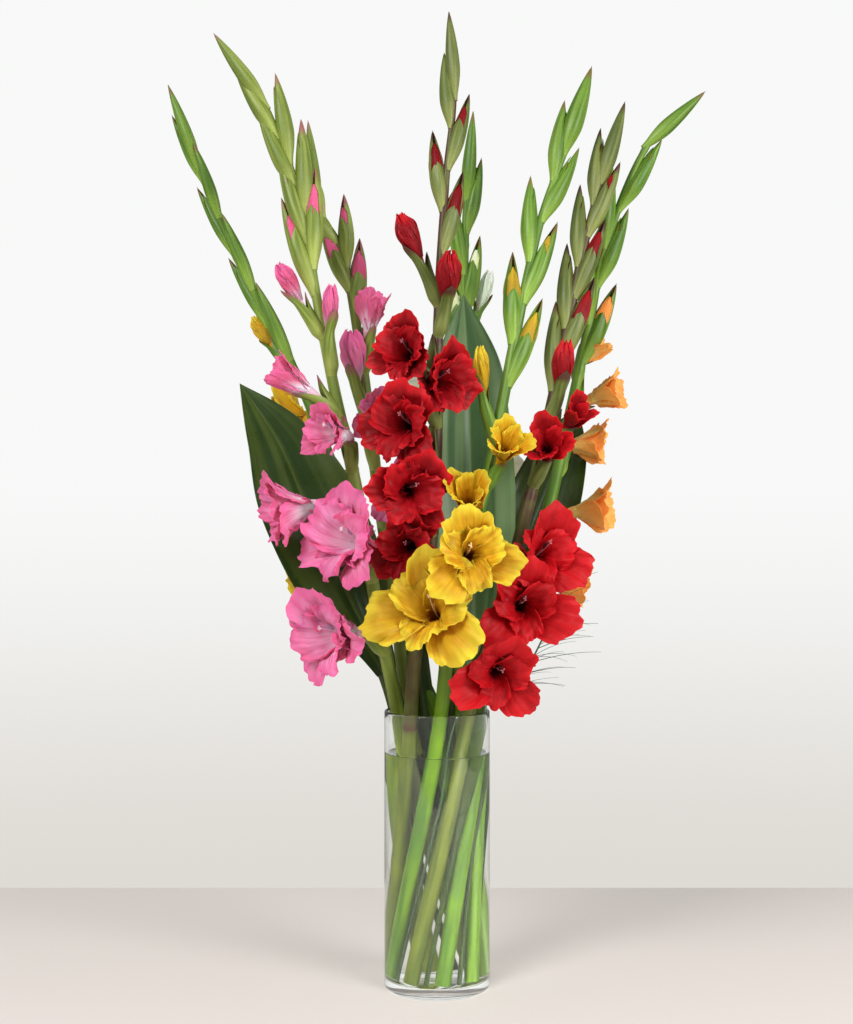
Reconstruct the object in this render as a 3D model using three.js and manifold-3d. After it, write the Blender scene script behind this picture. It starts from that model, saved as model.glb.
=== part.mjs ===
// Cut gladiolus standing in water in a clear glass cylinder vase.
// Millimetres, +Z up, viewer towards -Y. The origin is the centre of the vase's foot, on the table.
import * as THREE from "three";
import { mergeVertices } from "three/addons/utils/BufferGeometryUtils.js";
import Module from "manifold-3d";

const wasm = await Module();
wasm.setup();

// ---- driving dimensions ----

const vase = { radius: 50, height: 262, wall: 3, floor: 9, footBevel: 2.5, lipRound: 1.5, sides: 32 };
const waterLevel = 221;
const gap = 0.3; // clearance between pieces that touch
const cutGap = 0.35; // how much a neighbour is fattened before it trims a piece
const pointGap = 4; // how many times that a sharp point is drawn out

// The stems stand in a spiral: each foot is on one side of the vase and leans to the other at the rim. A leaning
// stem's flat cut end rests on one edge, so its middle is lifted off the floor.
const bunch = { footRadius: 36.5, rimRadius: 38, twist: 88, footLift: 2.2 };

// Stem radius by height, from the thick cut end to the thin tip of the spike.
const stemRadii = [
  [0, 7],
  [262, 6.6],
  [450, 6.1],
  [600, 5],
  [760, 3.4],
  [900, 2],
];
const stemSides = 6;

// A bud's sheath is a keeled pod, wider than deep and bowed outwards: the profile is its width by share of length.
// It springs from `rootAt` stem radii off the stem's middle, and the top one starts a little below its root point.
const sheath = {
  halfWidth: 8.8,
  halfDepth: 6.4,
  bow: 2.2,
  profile: [[0, 0.5], [0.28, 1], [0.64, 0.78], [1, 0]],
  rootAt: 0.55,
  topOverlap: 0.08,
};
// The sheath of a flower is a cup round the first `share` of its tube. Each ring has its place in the cup, its
// radius, and how far its outer corner runs on up the tube, as the point of the bract.
const cup = { share: 0.62, rings: [[0, 5, 0], [0.45, 7.6, 0], [1, 6, 0.5]], pointLean: 0.1, outerShare: 0.4 };
// A flower's tube leaves the stem steeply, bends over and comes in square to the flower's face.
const tube = { rootAt: 0.4, rise: 0.8, outward: 0.6, leaveShare: 0.42, arriveShare: 0.36, radius: 3.4, sunk: 1.5 };
// The throat lies behind the middle of the face by a share of the flower's reach, closed and open.
const throat = {
  radius: 5.6,
  lip: 1.2,
  lipBack: 1,
  depth: 7,
  neckAt: 0.8,
  neckRadius: 4.6,
  setBack: [0.525, 0.42],
};

// A tepal is a blade, thick at its rib and thin at its edge: half width by share of its length. It turns outwards
// over the middle of its length, and each cross row bends round the axis by its width over a mix of its distance
// from the axis and its way along the tepal.
const tepal = {
  rows: [0, 0.28, 0.56, 0.84, 1],
  widths: [0, 0.8, 1, 0.86, 0],
  ribThickness: 2.2,
  widthShare: 0.37,
  ruffle: 0.06,
  closedFlare: 8,
  turnsFrom: 0.1,
  turnsOver: 0.8,
  bendBy: [1.15, 0.5],
  mostBend: 1.2,
};
// Below this openness the tepals are still rolled into a plump spindle, here its width by share of its length.
const rolled = {
  under: 0.15,
  slim: 0.13,
  plump: 0.22,
  twist: 0.35,
  profile: [[-0.05, 0.5], [0.35, 0.92], [0.72, 1], [1, 0.42]],
};
// Tepals turn round the flower's face, in degrees from its right. Start and flare are the angles from the flower's
// axis at the root and the tip of a wide open one: the outer three start wide and lie behind the inner three.
const whorl = [
  { at: 90, start: 30, flare: 62, reach: 1.04, width: 1.18 },
  { at: 210, start: 36, flare: 90, reach: 0.98, width: 1.0 },
  { at: 330, start: 36, flare: 90, reach: 0.98, width: 1.0 },
  { at: 30, start: 8, flare: 74, reach: 1.0, width: 1.12 },
  { at: 150, start: 8, flare: 74, reach: 1.0, width: 1.12 },
  { at: 270, start: 10, flare: 82, reach: 0.94, width: 0.92 },
];

const petalColours = {
  yellow: 0xf3c515,
  pink: 0xe8719f,
  red: 0xb80d16,
  cream: 0xe9eecb,
  orange: 0xf09a3a,
};
const greens = { fresh: 0x6f9c3c, bronze: 0x6d6a4c, leaf: 0x2c4f2a, sprig: 0x3b5238 };

// Each spike: the turn of its stem at the rim, its route above the vase, whose last two points are the root and
// the tip of the top bud, its closed buds, and its flowers. A flower leaves the stem at height `at`, its face is
// centred at `face`, looks `turn` degrees right of the viewer and `tilt` degrees up, and `open` runs from 0,
// rolled, to 1, spread flat.
const flower = (at, face, turn, tilt, reach, open, roll = 0) => ({ at, face, turn, tilt, reach, open, roll });
const spikes = [
  {
    name: "red_centre",
    petals: "red",
    green: "bronze",
    rimTurn: -130,
    route: [[-18, -38, 340], [-6, -44, 420], [-1, -43, 510], [0, -38, 591], [3, -30, 680], [9, -21, 770],
      [16, -14, 846], [11, -10, 922]],
    buds: { low: 664, high: 806, count: 5, side: 1, lean: 11, plane: 0, length: [88, 78] },
    flowers: [
      flower(654, [-27, -52, 706], -60, 60, 40, 0.12),
      flower(622, [11, -58, 668], 10, 60, 42, 0.14, 20),
      flower(562, [-30, -78, 598], -26, 12, 42, 0.7, 8),
      flower(528, [5, -86, 572], 24, 4, 48, 0.78, -6),
      flower(484, [-31, -90, 527], -14, 8, 51, 0.94, 5),
      flower(428, [-25, -104, 464], 2, -2, 50, 0.95, 25),
      flower(370, [-27, -86, 406], -8, -18, 48, 0.9, 5),
    ],
  },
  {
    name: "yellow_right",
    petals: "yellow",
    green: "fresh",
    rimTurn: -85,
    route: [[12, -45, 340], [26, -48, 406], [46, -47, 480], [62, -42, 560], [76, -34, 630], [97, -22, 723],
      [121, -14, 793], [146, -8, 871]],
    buds: { low: 566, high: 760, count: 6, side: -1, lean: 11, plane: 5, length: [90, 78] },
    flowers: [
      flower(540, [40, -62, 584], -25, 72, 40, 0.02),
      flower(480, [63, -84, 517], 14, 38, 40, 0.34, -10),
      flower(434, [25, -98, 467], -10, 26, 44, 0.42, 20),
      flower(368, [31, -105, 409], 8, 10, 55, 0.86, -14),
      flower(320, [-4, -128, 365], -14, -4, 70, 0.95, 8),
    ],
  },
  {
    name: "red_right",
    petals: "red",
    green: "bronze",
    rimTurn: -40,
    route: [[52, -29, 340], [68, -32, 394], [90, -30, 478], [111, -22, 569], [128, -12, 650], [141, -6, 710],
      [157, 0, 767], [179, 4, 841]],
    buds: { low: 590, high: 740, count: 6, side: 1, lean: 10, plane: -10, length: [84, 74] },
    flowers: [
      flower(546, [117, -42, 588], 30, 66, 40, 0.1),
      flower(508, [129, -48, 543], 40, 50, 36, 0.2),
      flower(474, [99, -74, 512], -6, 22, 42, 0.4, -12),
      flower(374, [98, -66, 412], 24, 14, 54, 0.82, 8),
      flower(338, [71, -84, 364], 8, 0, 54, 0.92, -10),
      flower(300, [54, -98, 304], 8, -12, 52, 0.85, 12),
    ],
  },
  {
    name: "orange_right",
    petals: "orange",
    green: "fresh",
    rimTurn: 5,
    route: [[68, 22, 332], [92, 33, 390], [112, 41, 465], [133, 43, 559], [149, 39, 635], [163, 35, 704],
      [206, 28, 808], [259, 24, 856]],
    buds: { low: 610, high: 776, count: 5, side: 1, lean: 12, plane: 10, length: [92, 84] },
    flowers: [
      flower(578, [158, 50, 611], 75, 40, 38, 0.2),
      flower(534, [171, 46, 566], 70, 20, 42, 0.5),
      flower(486, [160, 58, 520], 84, 6, 46, 0.55),
      flower(418, [155, 50, 452], 76, 8, 48, 0.6),
      flower(354, [136, 46, 376], 96, -6, 40, 0.5),
    ],
  },
  {
    name: "cream_back",
    petals: "cream",
    green: "fresh",
    rimTurn: 50,
    route: [[22, 46, 340], [25, 60, 430], [25, 66, 540], [27, 68, 650], [30, 66, 766], [36, 60, 846]],
    buds: { low: 604, high: 726, count: 4, side: -1, lean: 10, plane: 15, length: [84, 78] },
    flowers: [
      flower(664, [22, 82, 712], 200, 78, 38, 0.03),
      flower(622, [48, 80, 672], 110, 72, 38, 0.03),
      flower(540, [6, 112, 580], 196, 12, 52, 0.85),
      flower(462, [42, 116, 500], 164, 6, 58, 0.95, 10),
    ],
  },
  {
    name: "yellow_left",
    petals: "yellow",
    green: "fresh",
    rimTurn: 95,
    route: [[-40, 50, 330], [-72, 62, 410], [-103, 70, 494], [-133, 77, 572], [-170, 82, 644], [-212, 82, 731],
      [-240, 79, 800], [-268, 75, 876]],
    buds: { low: 600, high: 770, count: 5, side: 1, lean: 7, plane: -62, length: [86, 76] },
    flowers: [
      flower(596, [-176, 98, 634], 230, 50, 34, 0.12),
      flower(518, [-150, 112, 548], 236, 14, 46, 0.7),
      flower(452, [-130, 118, 486], 200, 6, 54, 0.9),
      flower(346, [-128, 98, 352], 262, -8, 54, 0.85),
    ],
  },
  {
    name: "pink_back",
    petals: "pink",
    green: "fresh",
    rimTurn: 140,
    route: [[-38, 28, 346], [-50, 29, 423], [-62, 28, 510], [-74, 26, 607], [-93, 22, 703], [-116, 18, 745],
      [-124, 16, 826]],
    buds: { low: 612, high: 712, count: 4, side: 1, lean: 10, plane: 0, length: [82, 76] },
    flowers: [
      flower(584, [-63, 8, 642], 20, 76, 38, 0.22),
      flower(548, [-80, 8, 600], -30, 78, 44, 0.14),
      flower(492, [-64, -8, 538], 20, 8, 40, 0.7),
      flower(436, [-36, -14, 470], 42, 0, 50, 0.85),
    ],
  },
  {
    name: "pink_left",
    petals: "pink",
    green: "fresh",
    rimTurn: 185,
    route: [[-52, -24, 336], [-64, -33, 405], [-76, -38, 476], [-96, -40, 567], [-112, -37, 650], [-128, -33, 742],
      [-163, -28, 833], [-209, -25, 897]],
    buds: { low: 650, high: 796, count: 5, side: -1, lean: 12, plane: -6, length: [94, 84] },
    flowers: [
      flower(622, [-138, -48, 662], -80, 56, 36, 0.1),
      flower(590, [-98, -54, 640], 20, 76, 38, 0.02),
      flower(538, [-136, -56, 572], -80, 34, 42, 0.18),
      flower(488, [-97, -82, 521], -44, 4, 38, 0.55),
      flower(424, [-136, -68, 452], -72, -8, 52, 0.6),
      flower(386, [-80, -92, 422], -16, -2, 60, 0.93, 6),
      flower(318, [-94, -84, 336], -26, -14, 60, 0.9, -8),
    ],
  },
];

// Broad leaves: the turn of the stalk at the rim, the midrib's route above it, the way the upper face looks, and how
// far the edges curl forwards. The outline is the half width by share of the blade's length.
const leafShape = {
  outline: [[0, 0.05], [0.14, 0.34], [0.32, 0.82], [0.5, 1], [0.7, 0.86], [0.86, 0.5], [1, 0]],
  thickness: 1.1,
  rib: 1.7,
  edge: 0.6,
  wave: 2.5,
};
const leaves = [
  { name: "broad_leaf_left", rimTurn: 162.5, halfWidth: 50, looks: [0.35, -0.9, 0.15], curl: 9,
    route: [[-50, 8, 300], [-72, 0, 346], [-100, -4, 404], [-126, 0, 461], [-152, 8, 518], [-190, 20, 574]] },
  { name: "broad_leaf_centre", rimTurn: -17.5, halfWidth: 42, looks: [0.1, -1, 0.05], curl: 8,
    route: [[37, 0, 306], [36, 8, 346], [34, 16, 420], [32, 22, 500], [30, 27, 580], [26, 34, 662]] },
  { name: "broad_leaf_right", rimTurn: 27.5, halfWidth: 38, looks: [-0.1, -1, 0.1], curl: 7,
    route: [[42, 26, 306], [56, 46, 346], [84, 72, 404], [108, 84, 462], [126, 86, 512], [142, 84, 556]] },
];
const stalk = { radius: 2.2, sides: 5, footRadius: 38, rimRadius: 40 };

// A fine feathery sprig: a wiry stem, and threads that leave it at shares of its way from the rim to its tip.
const sprig = {
  name: "fine_sprig",
  rimTurn: -62,
  rimRadius: 43,
  radius: 1.3,
  route: [[50, -42, 278], [80, -36, 302], [100, -28, 336], [116, -24, 376]],
  threads: [
    { at: 0.36, tip: [118, -44, 290] },
    { at: 0.46, tip: [128, -40, 306] },
    { at: 0.56, tip: [152, -34, 320] },
    { at: 0.66, tip: [148, -6, 332] },
    { at: 0.76, tip: [150, -30, 346] },
    { at: 0.84, tip: [144, -4, 366] },
    { at: 0.98, tip: [150, -26, 394] },
  ],
  threadRadius: 0.6,
  threadArch: 6,
};

// ---- small helpers ----

const vec = (p) => new THREE.Vector3(p[0], p[1], p[2]);
const up = new THREE.Vector3(0, 0, 1);
const aside = new THREE.Vector3(1, 0, 0);
const rad = THREE.MathUtils.degToRad;
const lerp = THREE.MathUtils.lerp;
const smooth = (x) => THREE.MathUtils.smoothstep(x, 0, 1);

// Linear reading of a [[place, value], ...] list.
function reading(list, place) {
  const next = list.findIndex(([p]) => p >= place);
  if (next <= 0) return next === 0 ? list[0][1] : list[list.length - 1][1];
  const [[p0, v0], [p1, v1]] = [list[next - 1], list[next]];
  return lerp(v0, v1, (place - p0) / (p1 - p0));
}

const stemRadius = (height) => reading(stemRadii, height);

// The unit vector square to `along` that is nearest to `like`.
function squareTo(along, like) {
  return like.clone().addScaledVector(along, -like.dot(along)).normalize();
}

function circlePoint(radius, turn, height) {
  return new THREE.Vector3(radius * Math.cos(rad(turn)), radius * Math.sin(rad(turn)), height);
}

// Foot, two points on the straight stretch inside the vase, and the point at the rim.
function standing(rimTurn, footRadius, rimRadius) {
  const foot = circlePoint(footRadius, rimTurn - bunch.twist, vase.floor + bunch.footLift);
  const rim = circlePoint(rimRadius, rimTurn, vase.height);
  return [0, 1 / 3, 2 / 3, 1].map((s) => foot.clone().lerp(rim, s));
}

function curveThrough(points) {
  return new THREE.CatmullRomCurve3(points, false, "centripetal");
}

// The curve's parameter where it reaches a height; the curve only rises.
function reaching(curve, height) {
  let [low, high] = [0, 1];
  for (let i = 0; i < 40; i++) {
    const middle = (low + high) / 2;
    if (curve.getPoint(middle).z < height) low = middle;
    else high = middle;
  }
  return (low + high) / 2;
}

// ---- solids ----

// A closed geometry as a solid. Faces that collapse when equal points merge are dropped.
function solidOf(positions, faces) {
  const flat = faces.flatMap((f) => f.flatMap((i) => positions[i].toArray()));
  const loose = new THREE.BufferGeometry().setAttribute("position", new THREE.Float32BufferAttribute(flat, 3));
  const merged = mergeVertices(loose, 1e-3);
  const kept = [];
  const order = merged.index.array;
  for (let i = 0; i < order.length; i += 3) {
    const [a, b, c] = [order[i], order[i + 1], order[i + 2]];
    if (a !== b && b !== c && c !== a) kept.push(a, b, c);
  }
  const vertProperties = merged.attributes.position.array;
  const build = (corners) =>
    new wasm.Manifold(new wasm.Mesh({ numProp: 3, vertProperties, triVerts: new Uint32Array(corners) }));
  const made = build(kept);
  return made.volume() > 0 ? made : build(kept.reverse());
}

// Rings of equally many points, skinned in order and capped at both ends.
function loft(rings) {
  const sides = rings[0].length;
  const faces = [];
  for (let i = 0; i + 1 < rings.length; i++) {
    for (let j = 0; j < sides; j++) {
      const [a, b] = [i * sides + j, i * sides + ((j + 1) % sides)];
      faces.push([a, b, b + sides], [a, b + sides, a + sides]);
    }
  }
  const last = (rings.length - 1) * sides;
  for (let j = 1; j + 1 < sides; j++) faces.push([0, j + 1, j], [last, last + j, last + j + 1]);
  return solidOf(rings.flat(), faces);
}

// An elliptical ring of points; `across` and `deep` are unit vectors.
function ring(centre, across, deep, halfWidth, halfDepth, sides, start = 0) {
  return Array.from({ length: sides }, (_, j) => {
    const angle = start + (j / sides) * 2 * Math.PI;
    return centre
      .clone()
      .addScaledVector(across, halfWidth * Math.cos(angle))
      .addScaledVector(deep, halfDepth * Math.sin(angle));
  });
}

// A round rod along a curve, with a ring at each of the listed parameters.
function rod(curve, places, sides, radiusAt, grow) {
  return loft(places.map((t, i) => {
    const along = curve.getTangent(t);
    const across = squareTo(along, aside);
    const centre = curve.getPoint(t);
    if (i === 0) centre.addScaledVector(along, -grow);
    if (i === places.length - 1) centre.addScaledVector(along, grow);
    const radius = radiusAt(centre) + grow;
    return ring(centre, across, along.clone().cross(across), radius, radius, sides);
  }));
}

// Even steps from one parameter to another.
const even = (from, to, steps) => Array.from({ length: steps + 1 }, (_, i) => lerp(from, to, i / steps));

// A stem's own points, from its foot to the one before the last; the straight stretch in the vase needs no middle.
function stemPlaces(curve) {
  const last = curve.points.length - 1;
  return curve.points.map((_, i) => i / last).filter((_, i) => i !== 1 && i < last);
}

// A thin blade over a grid of { place, normal, thick }. Both faces are split alike, and meet where thick is 0.
function blade(grid) {
  const [rows, columns] = [grid.length, grid[0].length];
  const face = (side) => grid.flat().map((g) => g.place.clone().addScaledVector(g.normal, (side * g.thick) / 2));
  const half = rows * columns;
  const faces = [];
  for (let i = 0; i + 1 < rows; i++) {
    for (let j = 0; j + 1 < columns; j++) {
      const [a, b, c, d] = [i * columns + j, i * columns + j + 1, (i + 1) * columns + j + 1, (i + 1) * columns + j];
      faces.push([a, b, c], [a, c, d]);
      faces.push([half + a, half + c, half + b], [half + a, half + d, half + c]);
    }
  }
  const rim = (a, b) => faces.push([b, a, half + a], [b, half + a, half + b]);
  for (let j = 0; j + 1 < columns; j++) {
    rim(j, j + 1);
    rim((rows - 1) * columns + j + 1, (rows - 1) * columns + j);
  }
  for (let i = 0; i + 1 < rows; i++) {
    rim((i + 1) * columns, i * columns);
    rim(i * columns + columns - 1, (i + 1) * columns + columns - 1);
  }
  return solidOf([...face(1), ...face(-1)], faces);
}

const largest = (solid) => solid.decompose().sort((a, b) => b.volume() - a.volume())[0];
const joined = (solids) => largest(wasm.Manifold.union(solids));

// ---- spikes ----

function stemCurve(spike) {
  return curveThrough([...standing(spike.rimTurn, bunch.footRadius, bunch.rimRadius), ...spike.route.map(vec)]);
}

// A keeled pod from its root to its tip, flat across `deep`.
function pod(root, tip, deep, grow) {
  const along = tip.clone().sub(root).normalize();
  const depth = squareTo(along, deep);
  const across = along.clone().cross(depth);
  const rings = sheath.profile.map(([s, share], i, all) => {
    const centre = root.clone().lerp(tip, s).addScaledVector(depth, sheath.bow * Math.sin(Math.PI * s));
    if (i === 0) centre.addScaledVector(along, -grow);
    if (i === all.length - 1) centre.addScaledVector(along, grow * pointGap);
    const extra = share && grow * Math.SQRT2;
    return ring(centre, across, depth, share * sheath.halfWidth + extra, share * sheath.halfDepth + extra, 4);
  });
  return loft(rings);
}

// Closed buds sit on alternate sides of the stem, evenly spaced, in a plane turned about it; the top one carries
// the stem on.
function closedBuds(spike, curve, grow) {
  const { low, high, count, side, lean, plane, length } = spike.buds;
  const pods = [];
  for (let i = 0; i < count; i++) {
    const share = i / (count - 1);
    const t = reaching(curve, lerp(low, high, share));
    const along = curve.getTangent(t);
    const outward = squareTo(along, circlePoint(i % 2 ? -side : side, plane, 0));
    const root = curve.getPoint(t).addScaledVector(outward, stemRadius(curve.getPoint(t).z) * sheath.rootAt);
    const way = along.clone().multiplyScalar(Math.cos(rad(lean))).addScaledVector(outward, Math.sin(rad(lean)));
    const tip = root.clone().addScaledVector(way, lerp(length[0], length[1], share));
    pods.push(pod(root, tip, outward, grow));
  }
  const [root, tip] = spike.route.slice(-2).map(vec);
  pods.push(pod(root.clone().lerp(tip, -sheath.topOverlap), tip, new THREE.Vector3(0, -1, 0), grow));
  return pods;
}

// Where a flower sits: the way it faces, the side of the stem it leaves by, the path of its tube, the middle of its
// throat, and the unit vector at each turn round its face.
function flowerSeat(spike, curve, f) {
  const facing = new THREE.Vector3(
    Math.sin(rad(f.turn)) * Math.cos(rad(f.tilt)),
    -Math.cos(rad(f.turn)) * Math.cos(rad(f.tilt)),
    Math.sin(rad(f.tilt)),
  );
  const t = reaching(curve, f.at);
  const along = curve.getTangent(t);
  const centre = curve.getPoint(t);
  const throatEnd = vec(f.face).addScaledVector(facing, -f.reach * lerp(...throat.setBack, f.open));
  const away = squareTo(along, throatEnd.clone().sub(centre));
  const root = centre.clone().addScaledVector(away, stemRadius(f.at) * tube.rootAt);
  const span = root.distanceTo(throatEnd);
  const leave = along.clone().multiplyScalar(tube.rise).addScaledVector(away, tube.outward);
  const path = new THREE.CubicBezierCurve3(
    root,
    root.clone().addScaledVector(leave, span * tube.leaveShare),
    throatEnd.clone().addScaledVector(facing, -span * tube.arriveShare),
    throatEnd,
  );
  const faceUp = squareTo(facing, up);
  const faceRight = facing.clone().cross(faceUp);
  const spoke = (turn) => {
    const angle = rad(turn + f.roll);
    return faceRight.clone().multiplyScalar(Math.cos(angle)).addScaledVector(faceUp, Math.sin(angle));
  };
  return { facing, away, path, throatEnd, spoke };
}

// The green cup round the foot of a flower's tube. Its outer corner runs on as the point of the bract.
function flowerCup(seat, grow) {
  const outer = seat.away.clone().multiplyScalar(cup.outerShare).addScaledVector(up, -1);
  const rings = cup.rings.map(([share, radius, point], i, all) => {
    const t = share * cup.share;
    const along = seat.path.getTangent(t);
    const across = squareTo(along, outer);
    const centre = seat.path.getPoint(t);
    if (i === 0) centre.addScaledVector(along, -grow);
    if (i === all.length - 1) centre.addScaledVector(along, grow);
    const size = radius + grow * Math.SQRT2;
    const points = ring(centre, across, along.clone().cross(across), size, size, 4);
    const runOn = point * seat.path.getPoint(1).distanceTo(centre);
    points[0].addScaledVector(along, runOn && runOn + grow * pointGap).addScaledVector(across, runOn * cup.pointLean);
    return points;
  });
  return loft(rings);
}

function spikeSolid(spike, grow) {
  const curve = stemCurve(spike);
  const stem = rod(curve, stemPlaces(curve), stemSides, (centre) => stemRadius(centre.z), grow);
  const cups = spike.flowers.map((f) => flowerCup(flowerSeat(spike, curve, f), grow));
  return joined([stem, ...closedBuds(spike, curve, grow), ...cups]);
}

// ---- flowers ----

// The two edges of the throat's ring at a turn: the front one inside, the back one outside.
function throatEdge(seat, turn, grow) {
  const point = (radius, forward) =>
    seat.throatEnd.clone().addScaledVector(seat.spoke(turn), radius).addScaledVector(seat.facing, forward);
  return {
    front: point(throat.radius - grow, grow),
    back: point(throat.radius + throat.lip + grow, -throat.lipBack - grow),
  };
}

// The rows of one tepal. Its midrib leaves the throat along the axis and turns outwards; a cross row is cupped
// round the axis, and its edges wave from row to row. The first row lies on the throat's ring.
function tepalRows(f, seat, petal, grow) {
  const { facing, throatEnd, spoke } = seat;
  const outward = spoke(petal.at);
  const across = facing.clone().cross(outward);
  const length = f.reach * petal.reach;
  const start = rad(lerp(petal.start / 4, petal.start, f.open));
  const flare = rad(lerp(tepal.closedFlare, petal.flare, f.open));
  const half = length * tepal.widthShare * petal.width * lerp(0.5, 1, Math.min(1, f.open * 1.6));
  const angleAt = (s) => lerp(start, flare, smooth((s - tepal.turnsFrom) / tepal.turnsOver));
  const steps = 24;
  const ribSum = (v, part) =>
    even(0, v, steps).slice(1).reduce((sum, s) => sum + part(angleAt(s - v / steps / 2)), 0) * (v / steps) * length;
  return tepal.rows.map((v, i) => {
    if (i === 0) return [-1, 0, 1].map((u) => throatEdge(seat, petal.at - 30 * u, grow));
    const angle = angleAt(v);
    const inward = facing.clone().multiplyScalar(Math.sin(angle)).addScaledVector(outward, -Math.cos(angle));
    const radial = throat.radius + ribSum(v, Math.sin);
    const centre = throatEnd.clone().addScaledVector(facing, ribSum(v, Math.cos)).addScaledVector(outward, radial);
    const width = tepal.widths[i] * half;
    const bend = Math.min(tepal.mostBend, width / (radial * tepal.bendBy[0] + v * length * tepal.bendBy[1]));
    const wave = (i % 2 ? 1 : -1) * tepal.ruffle * length * v * f.open;
    return [-1, 0, 1].map((u) => {
      const place = centre.clone();
      if (width > 0) {
        place.addScaledVector(across, (width / bend) * Math.sin(u * bend) + u * grow);
        place.addScaledVector(inward, (width / bend) * (1 - Math.cos(u * bend)) + wave * u);
      }
      const halfThick = (width > 0 && u === 0 ? tepal.ribThickness / 2 : 0) + grow;
      return {
        front: place.clone().addScaledVector(inward, halfThick),
        back: place.clone().addScaledVector(inward, -halfThick),
      };
    });
  });
}

// An open flower is one skin: six tepals on the twelve points of the throat's ring, the hollow of the throat in
// front, and the tube behind, which runs back into the cup.
function openFlower(f, seat, grow) {
  const points = [];
  const faces = [];
  const add = (p) => points.push(p) - 1;
  const addEdge = ({ front, back }) => ({ front: add(front), back: add(back) });

  for (const petal of whorl) {
    const rows = tepalRows(f, seat, petal, grow).map((row) => row.map(addEdge));
    const rim = (x, y) => faces.push([x.front, x.back, y.back], [x.front, y.back, y.front]);
    for (let i = 0; i + 1 < rows.length; i++) {
      const [low, high] = [rows[i], rows[i + 1]];
      const left = [[low[0], low[1], high[1]], [low[0], high[1], high[0]]];
      const right = [[low[1], low[2], high[1]], [low[2], high[2], high[1]]];
      for (const [x, y, z] of [...left, ...right]) {
        faces.push([x.front, y.front, z.front], [x.back, z.back, y.back]);
      }
      rim(high[0], low[0]);
      rim(low[2], high[2]);
    }
    const end = rows[rows.length - 1];
    rim(end[1], end[0]);
    rim(end[2], end[1]);
  }

  const edge = Array.from({ length: 12 }, (_, j) => addEdge(throatEdge(seat, 30 * j, grow)));
  const deep = add(seat.throatEnd.clone().addScaledVector(seat.facing, -throat.depth + grow));
  const tubeRing = (t, radius, sunk) => {
    const along = seat.path.getTangent(t);
    const centre = seat.path.getPoint(t).addScaledVector(along, -sunk);
    const point = (_, j) => add(centre.clone().addScaledVector(squareTo(along, seat.spoke(60 * j)), radius + grow));
    return Array.from({ length: 6 }, point);
  };
  const neck = tubeRing(throat.neckAt, throat.neckRadius, 0);
  const root = tubeRing(cup.share, tube.radius, tube.sunk + grow);
  for (let j = 0; j < 6; j++) {
    const next = (j + 1) % 6;
    const [a, b, c] = [edge[2 * j], edge[2 * j + 1], edge[2 * next]];
    faces.push([a.front, b.front, deep], [b.front, c.front, deep]);
    faces.push([b.back, a.back, neck[j]], [b.back, neck[j], neck[next]], [c.back, b.back, neck[next]]);
    faces.push([neck[next], neck[j], root[j]], [neck[next], root[j], root[next]]);
  }
  for (let j = 1; j < 5; j++) faces.push([root[0], root[j + 1], root[j]]);
  return solidOf(points, faces);
}

// A flower that is still rolled: a plump twisted spindle at the end of its tube.
function rolledFlower(f, seat, grow) {
  const plump = lerp(rolled.slim, rolled.plump, f.open / rolled.under) * f.reach;
  const [faceRight, faceUp] = [seat.spoke(0), seat.spoke(90)];
  const rings = rolled.profile.map(([s, share], i, all) => {
    const end = i === all.length - 1 ? grow : 0;
    const centre = seat.throatEnd.clone().addScaledVector(seat.facing, s * f.reach + end);
    const size = share * plump + grow;
    return ring(centre, faceRight, faceUp, size, size * 0.9, 6, -i * rolled.twist);
  });
  const along = seat.path.getTangent(cup.share);
  const across = squareTo(along, faceRight);
  const start = seat.path.getPoint(cup.share).addScaledVector(along, -tube.sunk - grow);
  const root = ring(start, across, across.clone().cross(along), tube.radius + grow, tube.radius + grow, 6);
  return loft([root, ...rings]);
}

function flowerSolid(spike, f, grow) {
  const seat = flowerSeat(spike, stemCurve(spike), f);
  return f.open < rolled.under ? rolledFlower(f, seat, grow) : openFlower(f, seat, grow);
}

// ---- leaves and sprig ----

function leafSolid(leaf, grow) {
  const curve = curveThrough([...standing(leaf.rimTurn, stalk.footRadius, stalk.rimRadius), ...leaf.route.map(vec)]);
  const bladeStart = reaching(curve, leaf.route[0][2]);
  const places = [...stemPlaces(curve).filter((t) => t < bladeStart - 0.02), bladeStart + 0.02];
  const stalkRod = rod(curve, places, stalk.sides, () => stalk.radius, grow);
  const looks = vec(leaf.looks);
  const thickAt = (u) => (u === 0 ? leafShape.rib : Math.abs(u) === 1 ? leafShape.edge : leafShape.thickness);
  const rows = leafShape.outline.map(([s, share], i) => {
    const t = lerp(bladeStart - 0.01, 1, s);
    const along = curve.getTangent(t);
    const normal = squareTo(along, looks);
    const across = along.clone().cross(normal);
    const width = share * leaf.halfWidth;
    const wave = (i % 2 ? 1 : -1) * leafShape.wave * share;
    return [-1, -0.5, 0, 0.5, 1].map((u) => ({
      place: curve.getPoint(t)
        .addScaledVector(across, width && u * (width + grow))
        .addScaledVector(normal, leaf.curl * share * u * u + wave * u * Math.abs(u)),
      normal,
      thick: width && thickAt(u) + 2 * grow,
    }));
  });
  return joined([stalkRod, blade(rows)]);
}

function sprigSolid(grow) {
  const curve = curveThrough([
    ...standing(sprig.rimTurn, stalk.footRadius, sprig.rimRadius),
    ...sprig.route.map(vec),
  ]);
  const stem = rod(curve, [...stemPlaces(curve), 1], 5, () => sprig.radius, grow);
  const atRim = reaching(curve, vase.height);
  const threads = sprig.threads.map(({ at, tip }) => {
    const root = curve.getPoint(lerp(atRim, 1, at));
    const end = vec(tip);
    const middle = root.clone().lerp(end, 0.5).addScaledVector(up, sprig.threadArch);
    return rod(new THREE.QuadraticBezierCurve3(root, middle, end), even(0, 1, 3), 3, () => sprig.threadRadius, grow);
  });
  return joined([stem, ...threads]);
}

// ---- vase and water ----

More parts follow.
